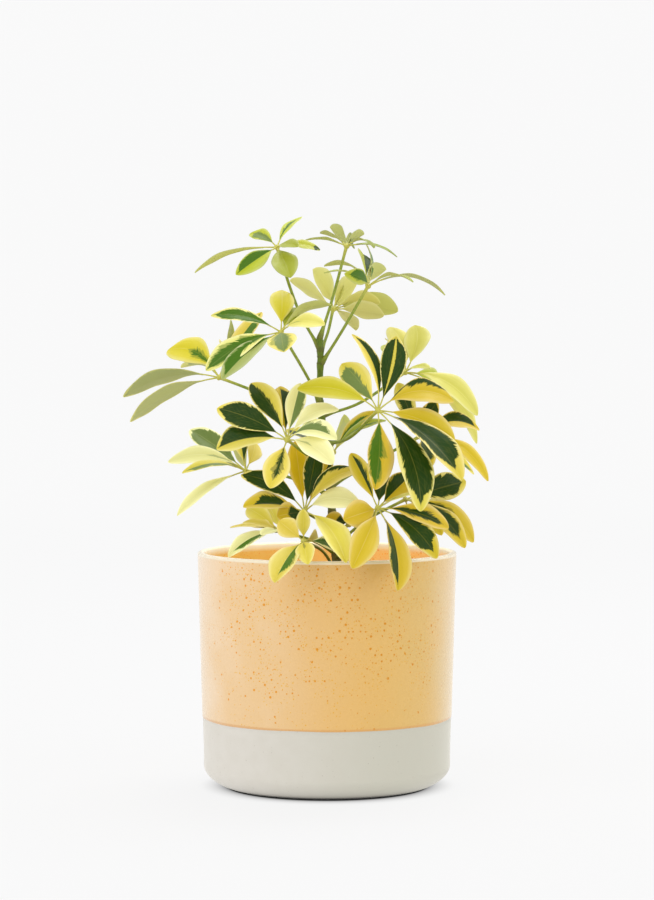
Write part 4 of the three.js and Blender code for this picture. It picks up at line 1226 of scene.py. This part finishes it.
def make_soil(material, grit):
    """Potting soil: a bumpy disc closed below, strewn with crumbs and a few white grains at random places."""
    random = np.random.default_rng(21)
    sides, rings = 150, 44
    edge = pot_outer_radius(SOIL_TOP) - WALL - SOIL_GAP
    angle = np.linspace(0, 2 * np.pi, sides, endpoint=False)
    reach = np.linspace(0.02, 1, rings)[:, None] * edge
    x, y = reach * np.cos(angle), reach * np.sin(angle)
    top = np.stack([x, y, soil_height(x, y)], -1)[::-1]
    wall_radius = np.array([edge - 0.5 * MM, soil_high[0] - 3 * MM, 40 * MM, 1 * MM])[:, None]
    wall_height = np.array([SOIL_TOP - 8 * MM, soil_low[2] + 8 * MM, soil_low[2], soil_low[2]])[:, None]
    wall_x, wall_y = wall_radius * np.cos(angle), wall_radius * np.sin(angle)
    wall = np.stack(np.broadcast_arrays(wall_x, wall_y, wall_height), -1)[::-1]
    surface = Surface()
    rows = np.concatenate([wall, top])
    points = np.vstack([[0, 0, soil_low[2]], rows.reshape(-1, 3), [0, 0, soil_height(0, 0)]])
    surface.add(points, ring_faces(len(rows), sides), 0)
    for index in range(CRUMBS):
        size = random.uniform(0.7, 2.2) * MM * (1.3 if index % BIG_CRUMB_EVERY == 0 else 1)
        far = edge * math.sqrt(random.uniform(0, 0.95))
        around = random.uniform(0, 2 * math.pi)
        cx, cy = far * math.cos(around), far * math.sin(around)
        shape, faces = crumb(random, size)
        lift = np.array([cx, cy, soil_height(cx, cy) + 0.35 * size])
        surface.add(shape + lift, faces, 1 if index % GRIT_EVERY == 0 else 0)
    piece = surface.build("fine_soil", [material, grit], {})
    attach(piece, "root")
    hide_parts("soil")
    return piece


def make_backdrop():
    """A plain white floor that turns up behind into a wall by a quarter circle. It glows, but less and less
    towards the pot's foot: a painted shadow where the pot's shade falls."""
    x = np.array([-6.0, 6.0])
    turn = np.linspace(0, 0.5 * np.pi, 24)
    bend = 1.2
    y = np.concatenate([[-6.0, 0.0], 3.0 + bend * np.sin(turn), [3.0 + bend]])
    z = np.concatenate([[0.0, 0.0], bend * (1 - np.cos(turn)), [6.0]])
    points = np.stack(np.broadcast_arrays(x[None, :], y[:, None], z[:, None]), -1).reshape(-1, 3)
    i = np.arange(len(y) - 1)
    faces = np.stack([2 * i, 2 * i + 1, 2 * i + 3, 2 * i + 2], -1)
    mesh = bpy.data.meshes.new("backdrop")
    mesh.from_pydata(points.tolist(), [], faces.tolist())
    mesh.polygons.foreach_set("use_smooth", np.ones(len(faces), bool))
    floor = bpy.data.objects.new("backdrop", mesh)
    bpy.context.scene.collection.objects.link(floor)
    material, graph, shader = new_material("backdrop_paper")
    place = graph.add("ShaderNodeTexCoord").outputs["Object"]
    shift = (0, SHADE_SHIFT, 0)
    shifted = graph.add("ShaderNodeVectorMath", {0: place, 1: shift}, operation="ADD").outputs[0]
    from_pot = graph.add("ShaderNodeVectorMath", {0: shifted}, operation="LENGTH").outputs["Value"]
    # Painted shadow: the floor's glow fades towards the pot's foot.
    open_air = graph.maths("POWER", graph.ramp(from_pot, *CONTACT_SHADE), SHADE_POWER)
    far = graph.ramp(graph.split(place)[1], 0.2, 3.4, FLOOR_GLOW, WALL_GLOW)
    graph.put(shader.inputs["Emission Strength"], graph.times(far, open_air))
    shader.inputs["Base Color"].default_value = (0.12, 0.12, 0.121, 1)
    shader.inputs["Roughness"].default_value = 0.95
    shader.inputs["Specular IOR Level"].default_value = 0.0
    shader.inputs["Emission Color"].default_value = (1.0, 1.0, 1.0, 1)
    mesh.materials.append(material)


def make_lights():
    """Even white light from all round, which looks white to the camera past the backdrop, a large soft lamp
    from the upper left, a weaker one from the right, and one from above and behind, which puts the sheen on
    the leaves."""
    world = bpy.data.worlds.new("studio")
    world.use_nodes = True
    background = world.node_tree.nodes["Background"]
    background.inputs["Color"].default_value = (1.0, 1.0, 1.0, 1)
    air = Graph(world.node_tree)
    looked_at = air.add("ShaderNodeLightPath").outputs["Is Camera Ray"]
    air.put(background.inputs["Strength"], air.ramp(looked_at, 0.0, 1.0, AIR_LIGHT, AIR_SEEN))
    bpy.context.scene.world = world
    for name, place, size, power in LAMPS:
        lamp = bpy.data.lights.new(name, "AREA")
        lamp.energy = power
        lamp.size = size
        holder = bpy.data.objects.new(name, lamp)
        bpy.context.scene.collection.objects.link(holder)
        holder.location = place
        away = np.array(place) - np.array(LAMPS_AIM)
        pitch = math.atan2(math.hypot(away[0], away[1]), away[2])
        holder.rotation_euler = (pitch, 0, math.atan2(away[0], -away[1]))


def make_camera():
    """The camera at the photograph's viewpoint."""
    camera_data = bpy.data.cameras.new("camera")
    camera_data.lens = EYE_LENS
    camera_data.sensor_width = 36
    camera = bpy.data.objects.new("camera", camera_data)
    scene = bpy.context.scene
    scene.collection.objects.link(camera)
    camera.location = (0, -EYE_DISTANCE, EYE_HEIGHT)
    camera.rotation_euler = (0.5 * math.pi - EYE_TILT, 0, 0)
    scene.camera = camera
    scene.view_settings.view_transform = "Standard"


make_backdrop()
make_lights()
make_camera()
speck_tree = speckle_group()
leaf_materials = [blade_material(leaf_group()), stalk_material()]
make_pot(pot_material(speck_tree))
make_soil(soil_material(), grit_material())
stem_path = smooth_path(np.array(STEM_ROUTE) * MM, STEM_STEPS)
make_stem(stem_path, stem_material())
for number, row in enumerate(LEAVES):
    make_leaf(row, number, stem_path, leaf_materials)
